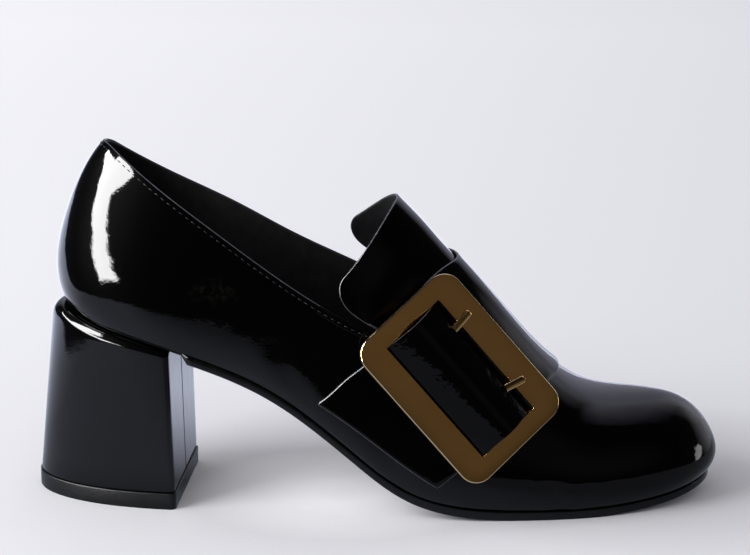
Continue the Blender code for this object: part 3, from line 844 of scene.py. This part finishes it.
def make_heel_lift():
    back, breast = HEEL_BACK_FOOT - TOP_PIECE_PROUD, HEEL_BREAST_FOOT + TOP_PIECE_PROUD
    plan = heel_plan(back, breast, HEEL_HALF_FOOT + TOP_PIECE_PROUD)
    edge = round_edge(TOP_PIECE_EDGE, HEEL_EDGE_STEPS)
    rings = [edge_ring(plan, inset, TOP_PIECE_THICK - drop) for inset, drop in edge]
    rings += [edge_ring(plan, inset, drop) for inset, drop in edge[::-1]]
    heel_loft("heel_lift", rings, RUBBER, "heel_top_piece")


make_heel_cover()
make_heel_lift()


# TONGUE AND STRAP

Wing = namedtuple("Wing", "arch sweep power")
LATERAL_WING = Wing(0.38, 1.18, 1.7)
MEDIAL_WING = Wing(0.322, 1.1, 1.85)
TONGUE_THICK = 1.0
TONGUE_TOP_STATION = 6.8
TONGUE_CORNER_ARCH = 0.055
TONGUE_CORNER_STATION = 0.47
TONGUE_TUCK = 0.25
TONGUE_RIDGE_FLARE = 0.6
TONGUE_WING_FLARE = 2.2
TONGUE_WING_ARCHES = (0.05, 0.3)
TONGUE_FLARE_SHARES = (0.3, 0.75)
TONGUE_CREASES = (
    Crease((6.55, -0.2), (6.3, -0.25), 1.6, 0.12),
    Crease((6.75, -0.17), (6.62, -0.21), 1.5, -0.1),
)
Strap = namedtuple("Strap", "rear_station rear_arch front_station front_arch bow")
STRAP = (
    Strap(7.78, 0.0, 9.52, 0.0, 0.0),
    Strap(7.566, 0.132, 9.25, 0.197, 0.0),
    Strap(7.06, 0.285, 8.62, 0.42, 0.0),
    Strap(6.45, 0.437, 8.0, 0.628, 0.01),
    Strap(5.93, 0.543, 7.73, 0.716, 0.025),
    Strap(5.514, 0.694, 7.491, 0.807, 0.0435),
)
STRAP_THICK = 1.2
STRAP_RISE_SHARES = (0.16, 0.95)
STRAP_RISE_ARCHES = (0.4, 0.5)
STRAP_END_LIFT = 2.2
STRAP_END_START = 0.45
STRAP_END_REACH = 0.4
TONGUE_COLUMNS = 96
STRAP_COLUMNS = 120
SHEET_ROWS = 40
SHEET_SHARES = np.linspace(0, 1, SHEET_ROWS + 1)
# The rim's pale edge finish also paints a thin highlight line
SHEET_FINISH = (PATENT, LINING, CUT_EDGE_AND_HIGHLIGHT)


def strap_rear(arch):
    return np.interp(np.abs(arch), [r.rear_arch for r in STRAP], [r.rear_station for r in STRAP])


def make_tongue():
    turns = np.linspace(-pi / 2, pi / 2, TONGUE_COLUMNS + 1)
    reach, farthest, power = (np.where(turns < 0, *pair) for pair in zip(LATERAL_WING, MEDIAL_WING))
    arch = reach * np.sin(turns)
    into = np.clip((np.abs(arch) - reach) / TONGUE_CORNER_ARCH + 1, 0, 1)
    corner = TONGUE_CORNER_STATION * (1 - np.sqrt(1 - into**2))
    rear = TONGUE_TOP_STATION - farthest * (np.abs(arch) / reach) ** power + corner
    front = strap_rear(arch) + TONGUE_TUCK
    station = front[:, None] + SHEET_SHARES * (rear - front)[:, None]
    arches = arch[:, None] + 0 * station
    toward_wing = ease(np.abs(arch), *TONGUE_WING_ARCHES)
    flare = TONGUE_RIDGE_FLARE + (TONGUE_WING_FLARE - TONGUE_RIDGE_FLARE) * toward_wing
    lift = GAP + flare[:, None] * ease(SHEET_SHARES, *TONGUE_FLARE_SHARES) + TONGUE_THICK / 2
    lift = lift + crease_lift(arch_point(station, arches), TONGUE_CREASES, on_last)
    grid = lifted(station, arches, lift)
    leaf("tongue_leaf", grid, TONGUE_THICK, SHEET_FINISH, "tongue")


def make_strap():
    rows = [(r.rear_station, -r.rear_arch, r.front_station, -r.front_arch, -r.bow) for r in STRAP[::-1]]
    rows += [tuple(r) for r in STRAP[1:]]
    edges = open_spline(rows, np.linspace(0, len(rows) - 1, STRAP_COLUMNS + 1))
    rear_station, rear_arch, front_station, front_arch, bow = (edges[:, k:k + 1] for k in range(5))
    share = SHEET_SHARES
    station = rear_station + share * (front_station - rear_station)
    arch = rear_arch + share * (front_arch - rear_arch) - 4 * share * (1 - share) * bow
    over_tongue = (1 - ease(share, *STRAP_RISE_SHARES)) * (1 - ease(np.abs(arch), *STRAP_RISE_ARCHES))
    end_lift = STRAP_END_LIFT * np.maximum(0, (np.abs(arch) - STRAP_END_START) / STRAP_END_REACH) ** 2
    grid = lifted(station, arch, GAP + over_tongue * (TONGUE_THICK + GAP) + end_lift + STRAP_THICK / 2)
    leaf("strap_leaf", grid[::-1], STRAP_THICK, SHEET_FINISH, "strap")


make_tongue()
make_strap()


# BUCKLE

BUCKLE_CENTRE = (126.5, -34.05, 53.0)
BUCKLE_AZIMUTH = 16.9
BUCKLE_ELEVATION = 20.0
BUCKLE_ROLL = -52.7
BUCKLE_LENGTH = 65.2
BUCKLE_WIDTH = 45.8
BUCKLE_OPEN_LENGTH = 51.2
BUCKLE_OPEN_WIDTH = 25.5
OPEN_EDGE = BUCKLE_OPEN_WIDTH / 2
BUCKLE_THICK = 2.2
BUCKLE_CORNER = 7.0
INNER_CORNER = 0.5
BUCKLE_EDGE = 0.4
INNER_EDGE = 0.15
BUCKLE_EDGE_STEPS = 5
BUCKLE_CORNER_STEPS = 10
BUCKLE_SHARP = 30
# The finish from each ring of the frame to the next: gilt face, polished edge paler as a painted highlight,
# and back and inner edge near black as painted shade
BUCKLE_FINISH = (2, 2, 1, 1, 1, 1, 0, 0, 0, 0, 0, 2, 2, 2)
BAND_HALF_LENGTH = 25.3
BAND_HALF_WIDTH = 19.0
BAND_THICK = 1.2
BAND_CROWN = 5.9
BAND_CREST_ROUND = 4.0
BAND_UNDER_BAR = 0.3
BAND_LOWER_SLOPE = 0.65
BAND_TURN = 0.6
BAND_FALL = 0.48
BAND_COLUMNS = 60
BAND_TAIL_STEPS = 9
BAND_TURN_STEPS = 10
BAND_CREST_STEPS = 52
BAND_SHARP = 60
Prong = namedtuple("Prong", "name node root_x root_y tip_x tip_y")
PRONGS = (
    Prong("buckle_prong_rear", "prong_rear", -14.2, 9.6, -15.1, 18.5),
    Prong("buckle_prong_front", "prong_front", 13.5, 9.6, 15.7, 17.6),
)
PRONG_RADIUS = 1.35
# Half of the prong's bevelled section, by half width and height, from its foot to its top
PRONG_SIDE = (
    (1.35, 0.0), (1.35, 0.3), (1.34, 0.45), (1.28, 0.58), (1.16, 0.69),
    (0.95, 0.83), (0.6, 1.06), (0.38, 1.2), (0.25, 1.26), (0.1, 1.29),
)
PRONG_FLANKS = 5
PRONG_SECTION = [(-w, h) for w, h in PRONG_SIDE] + list(PRONG_SIDE[::-1])
PRONG_OVER_BAR = BUCKLE_THICK / 2 + 0.1
PRONG_SUNK = 0.2
PRONG_TIP_HEIGHT = 0.35
PRONG_TIP_WIDTH = 0.02
PRONG_STEPS = 18
PRONG_TIP_STEPS = 9
PRONG_SHARP = 60


def buckle_axes():
    """The buckle's long side, short side and face as unit vectors."""
    face = Vector((0, -1, 0))
    face.rotate(Matrix.Rotation(radians(-BUCKLE_ELEVATION), 3, "X"))
    face.rotate(Matrix.Rotation(radians(BUCKLE_AZIMUTH), 3, "Z"))
    level = Vector((0, 0, 1)).cross(face).normalized()
    long_side = Matrix.Rotation(radians(BUCKLE_ROLL), 3, face) @ level
    return np.array((long_side, face.cross(long_side), face))


BUCKLE_AXES = buckle_axes()


def from_buckle(points):
    return np.asarray(points, float) @ BUCKLE_AXES + np.array(BUCKLE_CENTRE)


def rounded_rectangle(length, width, corner, height):
    points = []
    for turn, (sx, sy) in enumerate(((1, 1), (-1, 1), (-1, -1), (1, -1))):
        for angle in np.linspace(0, pi / 2, BUCKLE_CORNER_STEPS + 1) + turn * pi / 2:
            x = sx * (length / 2 - corner) + corner * cos(angle)
            y = sy * (width / 2 - corner) + corner * sin(angle)
            points.append((x, y, height))
    return points


def make_buckle():
    """The flat frame as rings from its back over the outer edge, face and inner edge to the back again."""
    half = BUCKLE_THICK / 2
    outer = [(BUCKLE_EDGE, -half), (0, -half + BUCKLE_EDGE)]
    outer += [(inset, half - drop) for inset, drop in round_edge(BUCKLE_EDGE, BUCKLE_EDGE_STEPS)[::-1]]
    inner = [(inset, half - drop) for inset, drop in round_edge(INNER_EDGE, BUCKLE_EDGE_STEPS)]
    inner += [(0, -half + INNER_EDGE), (INNER_EDGE, -half)]
    rings = [rounded_rectangle(BUCKLE_LENGTH - 2 * inset, BUCKLE_WIDTH - 2 * inset, BUCKLE_CORNER - inset, z)
             for inset, z in outer]
    rings += [rounded_rectangle(BUCKLE_OPEN_LENGTH + 2 * inset, BUCKLE_OPEN_WIDTH + 2 * inset,
                                INNER_CORNER + inset, z) for inset, z in inner]
    count = len(rings[0])
    rows = np.arange(len(rings) * count).reshape(-1, count).tolist()
    mesh_piece("buckle_plate", from_buckle(np.concatenate(rings)), chain_faces(rows + rows[:1], wrap=True),
               (GILT, POLISHED_HIGHLIGHT, GILT_SHADE), "buckle_frame",
               finish=np.repeat(BUCKLE_FINISH, count), sharp=BUCKLE_SHARP)


def band_height(y):
    """The band's top over the buckle's middle plane: a bulge that turns down steeply at the lower bar."""
    y = np.asarray(y, float)
    under_bar = -BUCKLE_THICK / 2 - BAND_UNDER_BAR
    fall, whole_fall = (np.hypot(reach, BAND_CREST_ROUND) - BAND_CREST_ROUND for reach in (y, OPEN_EDGE))
    upper = BAND_CROWN + (under_bar - BAND_CROWN) * fall / whole_fall
    lower = BAND_CROWN - BAND_LOWER_SLOPE * fall
    turn = np.clip((GAP + BAND_TURN - OPEN_EDGE - y) / BAND_TURN, 0, 1)
    lower += (under_bar - lower) * (1 - np.sqrt(1 - turn**2))
    bulge = np.where(y > 0, upper, lower)
    return np.where(np.abs(y) <= OPEN_EDGE, bulge, under_bar - BAND_FALL * (np.abs(y) - OPEN_EDGE))


def make_band():
    """The band's sheet, whose ends show a cut edge in the opening."""
    turn = GAP - OPEN_EDGE + BAND_TURN * (1 - np.sin(np.linspace(0, pi / 2, BAND_TURN_STEPS)))
    tail = np.linspace(-BAND_HALF_WIDTH, -OPEN_EDGE, BAND_TAIL_STEPS)
    crest = np.linspace(turn[0], BAND_HALF_WIDTH, BAND_CREST_STEPS)[1:]
    along = np.linspace(-BAND_HALF_LENGTH, BAND_HALF_LENGTH, BAND_COLUMNS + 1)
    x, y = np.meshgrid(along, np.concatenate((tail, turn[::-1], crest)), indexing="ij")
    top = band_height(y)
    under = np.minimum(top, band_height(np.abs(y))) - BAND_THICK
    columns, rows = x.shape
    count = columns * rows
    sheet = strips(columns, rows)
    rim = border(columns, rows)
    faces = sheet + underside(sheet, count) + bridge(rim, count + rim, wrap=True)
    points = np.stack((np.stack((x, y, top), -1), np.stack((x, y, under), -1)))
    # The band's rim takes the pale edge finish, which also paints a highlight line round its cut ends
    mesh_piece("buckle_band_leaf", from_buckle(points), faces, (BAND_PATENT, LINING, CUT_EDGE_AND_HIGHLIGHT),
               "buckle_band", weld=False,
               finish=np.repeat((0, 1, 2), (len(sheet), len(sheet), len(rim))), sharp=BAND_SHARP)


def make_prong(prong):
    """A polished bevelled bar that leaves the band and lies on the frame's long bar, with a round tip."""
    root = np.array((prong.root_x, prong.root_y))
    span = np.array((prong.tip_x, prong.tip_y)) - root
    length = np.linalg.norm(span)
    tip = length - PRONG_RADIUS * (1 - np.cos(np.linspace(0, pi / 2, PRONG_TIP_STEPS)[::-1]))
    reach = np.concatenate((np.linspace(0, length - PRONG_RADIUS, PRONG_STEPS)[:-1], tip))
    spine = root + (reach / length)[:, None] * span
    rise = ease(spine[:, 1], prong.root_y, OPEN_EDGE)
    foot = (1 - rise) * (float(band_height(prong.root_y)) - PRONG_SUNK) + rise * PRONG_OVER_BAR
    side = np.array((-span[1], span[0])) / length
    into_tip = np.clip((reach - length + PRONG_RADIUS) / PRONG_RADIUS, 0, 1)
    widths = np.sqrt(np.maximum(1 - into_tip**2, PRONG_TIP_WIDTH**2))
    rings = []
    for place, low, width in zip(spine, foot, widths):
        tall = PRONG_TIP_HEIGHT + (1 - PRONG_TIP_HEIGHT) * width
        rings.append([(*(place + side * width * w), PRONG_OVER_BAR + h * tall if h else low)
                      for w, h in PRONG_SECTION])
    count = len(PRONG_SECTION)
    # The top faces take the darker gilt as painted shade and the flanks the paler gilt as a painted
    # highlight
    top = [PRONG_FLANKS <= j < count - 1 - PRONG_FLANKS for j in range(count)]
    finish = np.concatenate((np.tile(top, len(rings) - 1), (0, 0)))
    mesh_piece(prong.name, from_buckle(np.concatenate(rings)), loft_faces(len(rings), count),
               (POLISHED_HIGHLIGHT, PRONG_TOP_SHADE), prong.node, weld=False, finish=finish, sharp=PRONG_SHARP)


make_buckle()
make_band()
for row in PRONGS:
    make_prong(row)


# THROAT FACING

FACING_STATIONS = (5.35, 6.32)
FACING_WIDTH = 2.6
FACING_END_SHARE = 0.35
FACING_TOP_SHARE = 0.12
FACING_THICK = 0.3
FACING_RISE_STATIONS = (5.4, 5.75)
FACING_ROUND = 0.12
FACING_STEPS = 49
FACING_ROWS = 9
ARCH_STEP = 0.01


def make_facing():
    """The thin strip along the lateral throat, which comes out of the collar's edge and ends rounded."""
    stations = np.linspace(*FACING_STATIONS, FACING_STEPS)
    top = collar_arch(stations, -1)
    step = arch_point(stations, top - ARCH_STEP) - arch_point(stations, top)
    speed = np.linalg.norm(step, axis=1) / ARCH_STEP
    into = np.clip((stations - FACING_STATIONS[1]) / FACING_ROUND + 1, 0, 1)
    width = FACING_WIDTH * (FACING_END_SHARE + (1 - FACING_END_SHARE) * np.sqrt(1 - into**2))
    arch = top[:, None] - (width / speed)[:, None] * np.linspace(FACING_TOP_SHARE, 1, FACING_ROWS)
    lift = FACING_THICK * (ease(stations, *FACING_RISE_STATIONS) - 1) + FACING_THICK / 2
    grid = lifted(np.repeat(stations[:, None], FACING_ROWS, 1), arch, lift[:, None])
    # The facing's rim takes the pale edge finish, a painted highlight line
    leaf("throat_facing", grid, FACING_THICK, (PATENT, PATENT, CUT_EDGE_AND_HIGHLIGHT))


make_facing()


# STITCHES

STITCH_PITCH = 2.7
STITCH_LENGTH = 1.6
STITCH_RADIUS = 0.19
STITCH_TAPER = 0.55
STITCH_RISE = 0.35
STITCH_DIP = 0.75
STITCH_INSET = 1.4
STITCH_RINGS = 5
STITCH_SIDES = 6


def stitch_row(name, path, normals):
    """Stitches at an even pitch along a path, half sunk in the leather."""
    steps = np.linalg.norm(np.diff(path, axis=0), axis=1)
    reach = np.concatenate(([0], np.cumsum(steps)))
    middles = np.arange(STITCH_PITCH / 2, reach[-1], STITCH_PITCH)

    def along(values):
        return np.stack([np.interp(middles, reach, values[:, k]) for k in range(3)], -1)

    centre, up = along(path), unit(along(normals))
    ahead = unit(along(np.gradient(path, axis=0)))
    across = unit(np.cross(up, ahead))
    round_thread = np.arange(STITCH_SIDES) * 2 * pi / STITCH_SIDES
    points, faces = [], []
    for c, a, b, n in zip(centre, ahead, across, up):
        faces += loft_faces(STITCH_RINGS, STITCH_SIDES, start=len(points))
        for t in np.linspace(-1, 1, STITCH_RINGS):
            width = STITCH_RADIUS * (1 - STITCH_TAPER * t * t)
            rise = STITCH_RADIUS * (STITCH_RISE - STITCH_DIP * t * t)
            spine = c + a * (t * STITCH_LENGTH / 2) + n * rise
            points += [spine + width * (cos(q) * b + sin(q) * n) for q in round_thread]
    mesh_piece(name, points, faces, (THREAD,), weld=False)


over_facing = FACING_THICK * ease(-collar_place, *FACING_RISE_STATIONS)
over_facing *= -collar_place < FACING_STATIONS[1]
stitch_path = collar_edge - STITCH_INSET * collar_out + over_facing[:, None] * collar_up
stitch_row("collar_stitches", stitch_path, collar_up)


# STUDIO

CAMERA_TARGET = Vector((0.096, -0.0052, 0.0809))
CAMERA_AZIMUTH = 1.5
CAMERA_ELEVATION = 17.0
CAMERA_DISTANCE = 1.0
FOCAL_PIXELS = 2800
FRAME_WIDTH = 750
SENSOR = 36.0


def toward(azimuth, elevation):
    """A direction from the shoe by degrees; azimuth 0 is to its lateral side and 90 to its toe."""
    a, e = radians(azimuth), radians(elevation)
    return Vector((sin(a) * cos(e), -cos(a) * cos(e), sin(e)))


def look_along(piece, direction):
    piece.rotation_euler = direction.to_track_quat("-Z", "Y").to_euler()


def make_camera():
    back = toward(CAMERA_AZIMUTH, CAMERA_ELEVATION)
    data = bpy.data.cameras.new("camera")
    data.sensor_width = SENSOR
    data.lens = SENSOR * FOCAL_PIXELS / FRAME_WIDTH
    camera = bpy.data.objects.new("camera", data)
    camera.location = CAMERA_TARGET + CAMERA_DISTANCE * back
    look_along(camera, -back)
    bpy.context.scene.collection.objects.link(camera)
    bpy.context.scene.camera = camera


def stage_sheet(name, corners, material):
    """A flat sheet of the studio, one face round its corners."""
    mesh = bpy.data.meshes.new(name)
    mesh.from_pydata(corners, [], [tuple(range(len(corners)))])
    mesh.materials.append(material)
    piece = bpy.data.objects.new(name, mesh)
    bpy.context.scene.collection.objects.link(piece)
    return piece


def only_mirrored(piece):
    """A card that shows in reflections alone."""
    piece.visible_camera = piece.visible_diffuse = piece.visible_shadow = False
    piece.visible_transmission = piece.visible_volume_scatter = False


FLOOR_HALF = 4
PAPER_LEFT = (0.83, 0.83, 0.855)
PAPER_RIGHT = (0.755, 0.75, 0.785)
PAPER_SPAN = (-0.2, 0.35)
PAPER_ROUGH = Drift(40, 3, 0.85, 0.95)
GLOW_LEFT = (1, 1, 1.02)
GLOW_RIGHT = (0.55, 0.55, 0.57)
GLOW_BEHIND = (0, 0.19, 0.1, 0.8)
GLOW_BESIDE_TOE = (0, 1, 0.3, 1)
WAIST_BOUNCE = (0.085, -0.009, 0)
WAIST_BOUNCE_REACH = (0.052, 0.042, 1)
WAIST_BOUNCE_FADE = (0.42, 0, 0.25, 1.1)
TOE_SHADE = (0.215, 0.005, 0)
TOE_SHADE_REACH = (0.1, 0.085, 1)
TOE_SHADE_FADE = (0.7, 1, 0.2, 1)


def paper(name):
    """White paper, darker to the right, lit up far behind the shoe and by light thrown under its waist."""
    n = Nodes(name)
    axes = n.axes()
    across = n.ramp(axes["X"], 0, 1, *PAPER_SPAN)
    from_toe = n.nearness(TOE_SHADE, TOE_SHADE_REACH)
    shade = n.add("ShaderNodeVectorMath", operation="SCALE")
    n.link(n.ramp(across, PAPER_LEFT, PAPER_RIGHT, 0, 1), shade.inputs[0])
    n.link(n.ramp(from_toe, *TOE_SHADE_FADE), shade.inputs["Scale"])
    behind = n.ramp(axes["Y"], *GLOW_BEHIND)
    behind = n.calculate("MULTIPLY", behind, n.ramp(from_toe, *GLOW_BESIDE_TOE))
    bounce = n.ramp(n.nearness(WAIST_BOUNCE, WAIST_BOUNCE_REACH), *WAIST_BOUNCE_FADE)
    n.feed(
        Base_Color=shade.outputs["Vector"],
        Roughness=n.drift(PAPER_ROUGH),
        Emission_Color=n.ramp(across, GLOW_LEFT, GLOW_RIGHT, 0, 1),
        Emission_Strength=n.calculate("ADD", behind, bounce),
    )
    n.set(Specular_IOR_Level=0.0)
    return n.material


def dull_glow(name, colour, tone):
    """The nodes of a dull card that glows in a colour, by a strength still to be linked."""
    n = Nodes(name)
    n.set(Roughness=1.0, Specular_IOR_Level=0.0, Base_Color=(*tone, 1), Emission_Color=(*colour, 1))
    return n


TABLE = (
    (0.32, -0.25), (0.36, 0.3), (1.6, 2.2), (-2.2, 2.2), (-0.996, 0.754), (-0.51, 0.213), (-0.272, 0.055),
    (-0.223, 0.0), (-0.164, -0.201), (-0.09, -0.243),
)
TABLE_LIFT = 0.0002
TABLE_TINT = (0.9, 0.96, 1.2)
TABLE_TONE = (0.1, 0.1, 0.105)
TABLE_BESIDE_TOE = (0.13, 0.64, -0.24, -0.08)
TABLE_FAR_BACK = (0, 1.0, 0.12, 0.36)
WAIST_SHADE = (0.034, 0.0, 0)
WAIST_SHADE_REACH = (0.1, 0.062, 1)
WAIST_SHADE_FADE = (0.1, 1, 0, 1)
BREAST_LIGHT = (0.056, 0.115, 0)
BREAST_LIGHT_REACH = (0.05, 0.06, 1)
BREAST_LIGHT_FADE = (0.32, 0, 0.2, 1)


def table_glow(name):
    """The lit table as the lacquer mirrors it: brighter behind the heel, with a shadow under the waist."""
    n = dull_glow(name, TABLE_TINT, TABLE_TONE)
    axes = n.axes()
    behind = n.calculate("SUBTRACT", axes["Y"], axes["X"])
    beside_toe = n.ramp(behind, *TABLE_BESIDE_TOE)
    far_back = n.ramp(behind, *TABLE_FAR_BACK)
    shade = n.ramp(n.nearness(WAIST_SHADE, WAIST_SHADE_REACH), *WAIST_SHADE_FADE)
    breast = n.ramp(n.nearness(BREAST_LIGHT, BREAST_LIGHT_REACH), *BREAST_LIGHT_FADE)
    lit = n.calculate("MULTIPLY", n.calculate("ADD", beside_toe, far_back), shade)
    n.feed(Emission_Strength=n.calculate("ADD", lit, breast))
    return n.material


SWEEP_HALF_WIDTH = 1.6
SWEEP_HEIGHT = 2.2
SWEEP_REACH = 1.6
SWEEP_PLACE = (0.35, 1.5, 0)
SWEEP_FOOT = -0.5
SWEEP_TINT = (0.95, 0.95, 1.18)
SWEEP_FULL_SHARE = 0.4
WALL_STRENGTHS = (0.45, 1.1)
ROOF_STRENGTHS = (1.1, 0.15)


def sweep_glow(name, axis, reach, strengths):
    """A glow that runs between two strengths along an axis and dies away to both sides."""
    n = dull_glow(name, SWEEP_TINT, (0, 0, 0))
    axes = n.axes()
    along = n.ramp(axes[axis], *strengths, 0, reach)
    aside = n.calculate("ABSOLUTE", axes["X"])
    fade = n.ramp(aside, 1, 0, SWEEP_HALF_WIDTH * SWEEP_FULL_SHARE, SWEEP_HALF_WIDTH)
    n.feed(Emission_Strength=n.calculate("MULTIPLY", along, fade))
    return n.material


# Outlines of bright cards by azimuth and elevation
STRIP = (
    (-112, 33), (-92, 31), (-79, 30), (-76, 52), (-70, 60), (-55, 60), (-46, 40),
    (-46, 25), (-49, 20), (-58, 16), (-54, 11), (-49, 5), (-42, 0), (-33, -7),
    (-51, -10), (-53, -6), (-67, 5), (-76, 10), (-92, 24), (-110, 26),
)
STRIP_MIDDLE = Vector((0.0, -0.02, 0.1))
STRIP_STRENGTH = 36
TOE_SPOT = ((91, 13), (98, 12), (103, 6), (101, -2), (95, -8), (89, -9), (90, -2), (88, 3), (91, 7))
TOE_MIDDLE = Vector((0.21, -0.014, 0.02))
TOE_SPOT_STRENGTH = 4
SoftCard = namedtuple("SoftCard", "name middle azimuth elevation reach half_width half_height strength")
SOFT_CARDS = (
    SoftCard("gilt_card", Vector((0.126, -0.034, 0.053)), 33, 23, 1.0, 0.6, 0.5, 0.058),
    SoftCard("toe_card", TOE_MIDDLE, 128, 12, 0.2, 0.11, 0.12, 0.75),
    SoftCard("toe_top_card", TOE_MIDDLE, 140, 39, 0.11, 0.05, 0.052, 0.52),
)
SOFT_CARD_TINT = (1, 1, 1.1, 1)
SOFT_CARD_SPAN = (0.3, 1)


def bright_card(name, middle, corners, strength):
    """An evenly glowing card a metre away from a middle."""
    n = Nodes(name)
    lamp = n.add("ShaderNodeEmission")
    lamp.inputs["Color"].default_value = (1, 1, 1, 1)
    lamp.inputs["Strength"].default_value = strength
    n.show(lamp.outputs["Emission"])
    only_mirrored(stage_sheet(name, [middle + toward(*corner) for corner in corners], n.material))


def soft_card(row):
    """A clear card that faces a middle, glows in its own middle and fades towards its rim."""
    n = Nodes(row.name)
    lamp = n.add("ShaderNodeEmission")
    lamp.inputs["Color"].default_value = SOFT_CARD_TINT
    n.link(n.ramp(n.nearness(), row.strength, 0, *SOFT_CARD_SPAN), lamp.inputs["Strength"])
    sheet = n.add("ShaderNodeAddShader")
    n.link(lamp.outputs["Emission"], sheet.inputs[0])
    n.link(n.add("ShaderNodeBsdfTransparent").outputs["BSDF"], sheet.inputs[1])
    n.show(sheet.outputs["Shader"])
    back = toward(row.azimuth, row.elevation)
    card = stage_sheet(row.name, [(-1, -1, 0), (1, -1, 0), (1, 1, 0), (-1, 1, 0)], n.material)
    card.location = row.middle + row.reach * back
    look_along(card, -back)
    card.scale = (row.half_width, row.half_height, 1)
    only_mirrored(card)


def make_stage():
    f = FLOOR_HALF
    floor = stage_sheet("floor", [(-f, -f, 0), (f, -f, 0), (f, f, 0), (-f, f, 0)], paper("studio_paper"))
    floor.visible_glossy = False
    table = stage_sheet("table", [(x, y, TABLE_LIFT) for x, y in TABLE], table_glow("table_glow"))
    only_mirrored(table)
    bright_card("strip_box", STRIP_MIDDLE, STRIP, STRIP_STRENGTH)
    bright_card("toe_spot", TOE_MIDDLE, TOE_SPOT, TOE_SPOT_STRENGTH)
    for row in SOFT_CARDS:
        soft_card(row)
    w, h, r, low = SWEEP_HALF_WIDTH, SWEEP_HEIGHT, SWEEP_REACH, SWEEP_FOOT
    backdrop = stage_sheet("sweep_wall", [(-w, 0, low), (w, 0, low), (w, 0, h), (-w, 0, h)],
                           sweep_glow("sweep_wall_glow", "Z", h, WALL_STRENGTHS))
    roof = stage_sheet("sweep_roof", [(-w, 0, h), (w, 0, h), (w, -r, h), (-w, -r, h)],
                       sweep_glow("sweep_roof_glow", "Y", -r, ROOF_STRENGTHS))
    for card in (backdrop, roof):
        card.location = SWEEP_PLACE
        only_mirrored(card)


KEY_PLACE = Vector((-0.9, -0.5, 0.8))
KEY_TARGET = Vector((0.1, 0, 0.03))
KEY_SIZE = 0.7
KEY_WATTS = 11
SKY = (0.72, 0.72, 0.75, 1)
MIRRORED_SKY = (0.016, 0.016, 0.018, 1)


def make_key():
    data = bpy.data.lights.new("key", "AREA")
    data.shape = "SQUARE"
    data.size = KEY_SIZE
    data.energy = KEY_WATTS
    lamp = bpy.data.objects.new("key", data)
    lamp.location = KEY_PLACE
    look_along(lamp, KEY_TARGET - KEY_PLACE)
    lamp.visible_glossy = False
    bpy.context.scene.collection.objects.link(lamp)


def make_sky():
    """An even pale sky that the lacquer mirrors almost black."""
    world = bpy.data.worlds.new("studio")
    bpy.context.scene.world = world
    world.use_nodes = True
    tree = world.node_tree
    sky = tree.nodes["Background"]
    rays = tree.nodes.new("ShaderNodeLightPath")
    tone = tree.nodes.new("ShaderNodeMix")
    tone.data_type = "RGBA"
    tone.inputs["A"].default_value = SKY
    tone.inputs["B"].default_value = MIRRORED_SKY
    tree.links.new(rays.outputs["Is Glossy Ray"], tone.inputs["Factor"])
    tree.links.new(tone.outputs["Result"], sky.inputs["Color"])
    sky.inputs["Strength"].default_value = 1.0


make_camera()
make_stage()
make_sky()
make_key()
bpy.context.scene.view_settings.view_transform = "Standard"
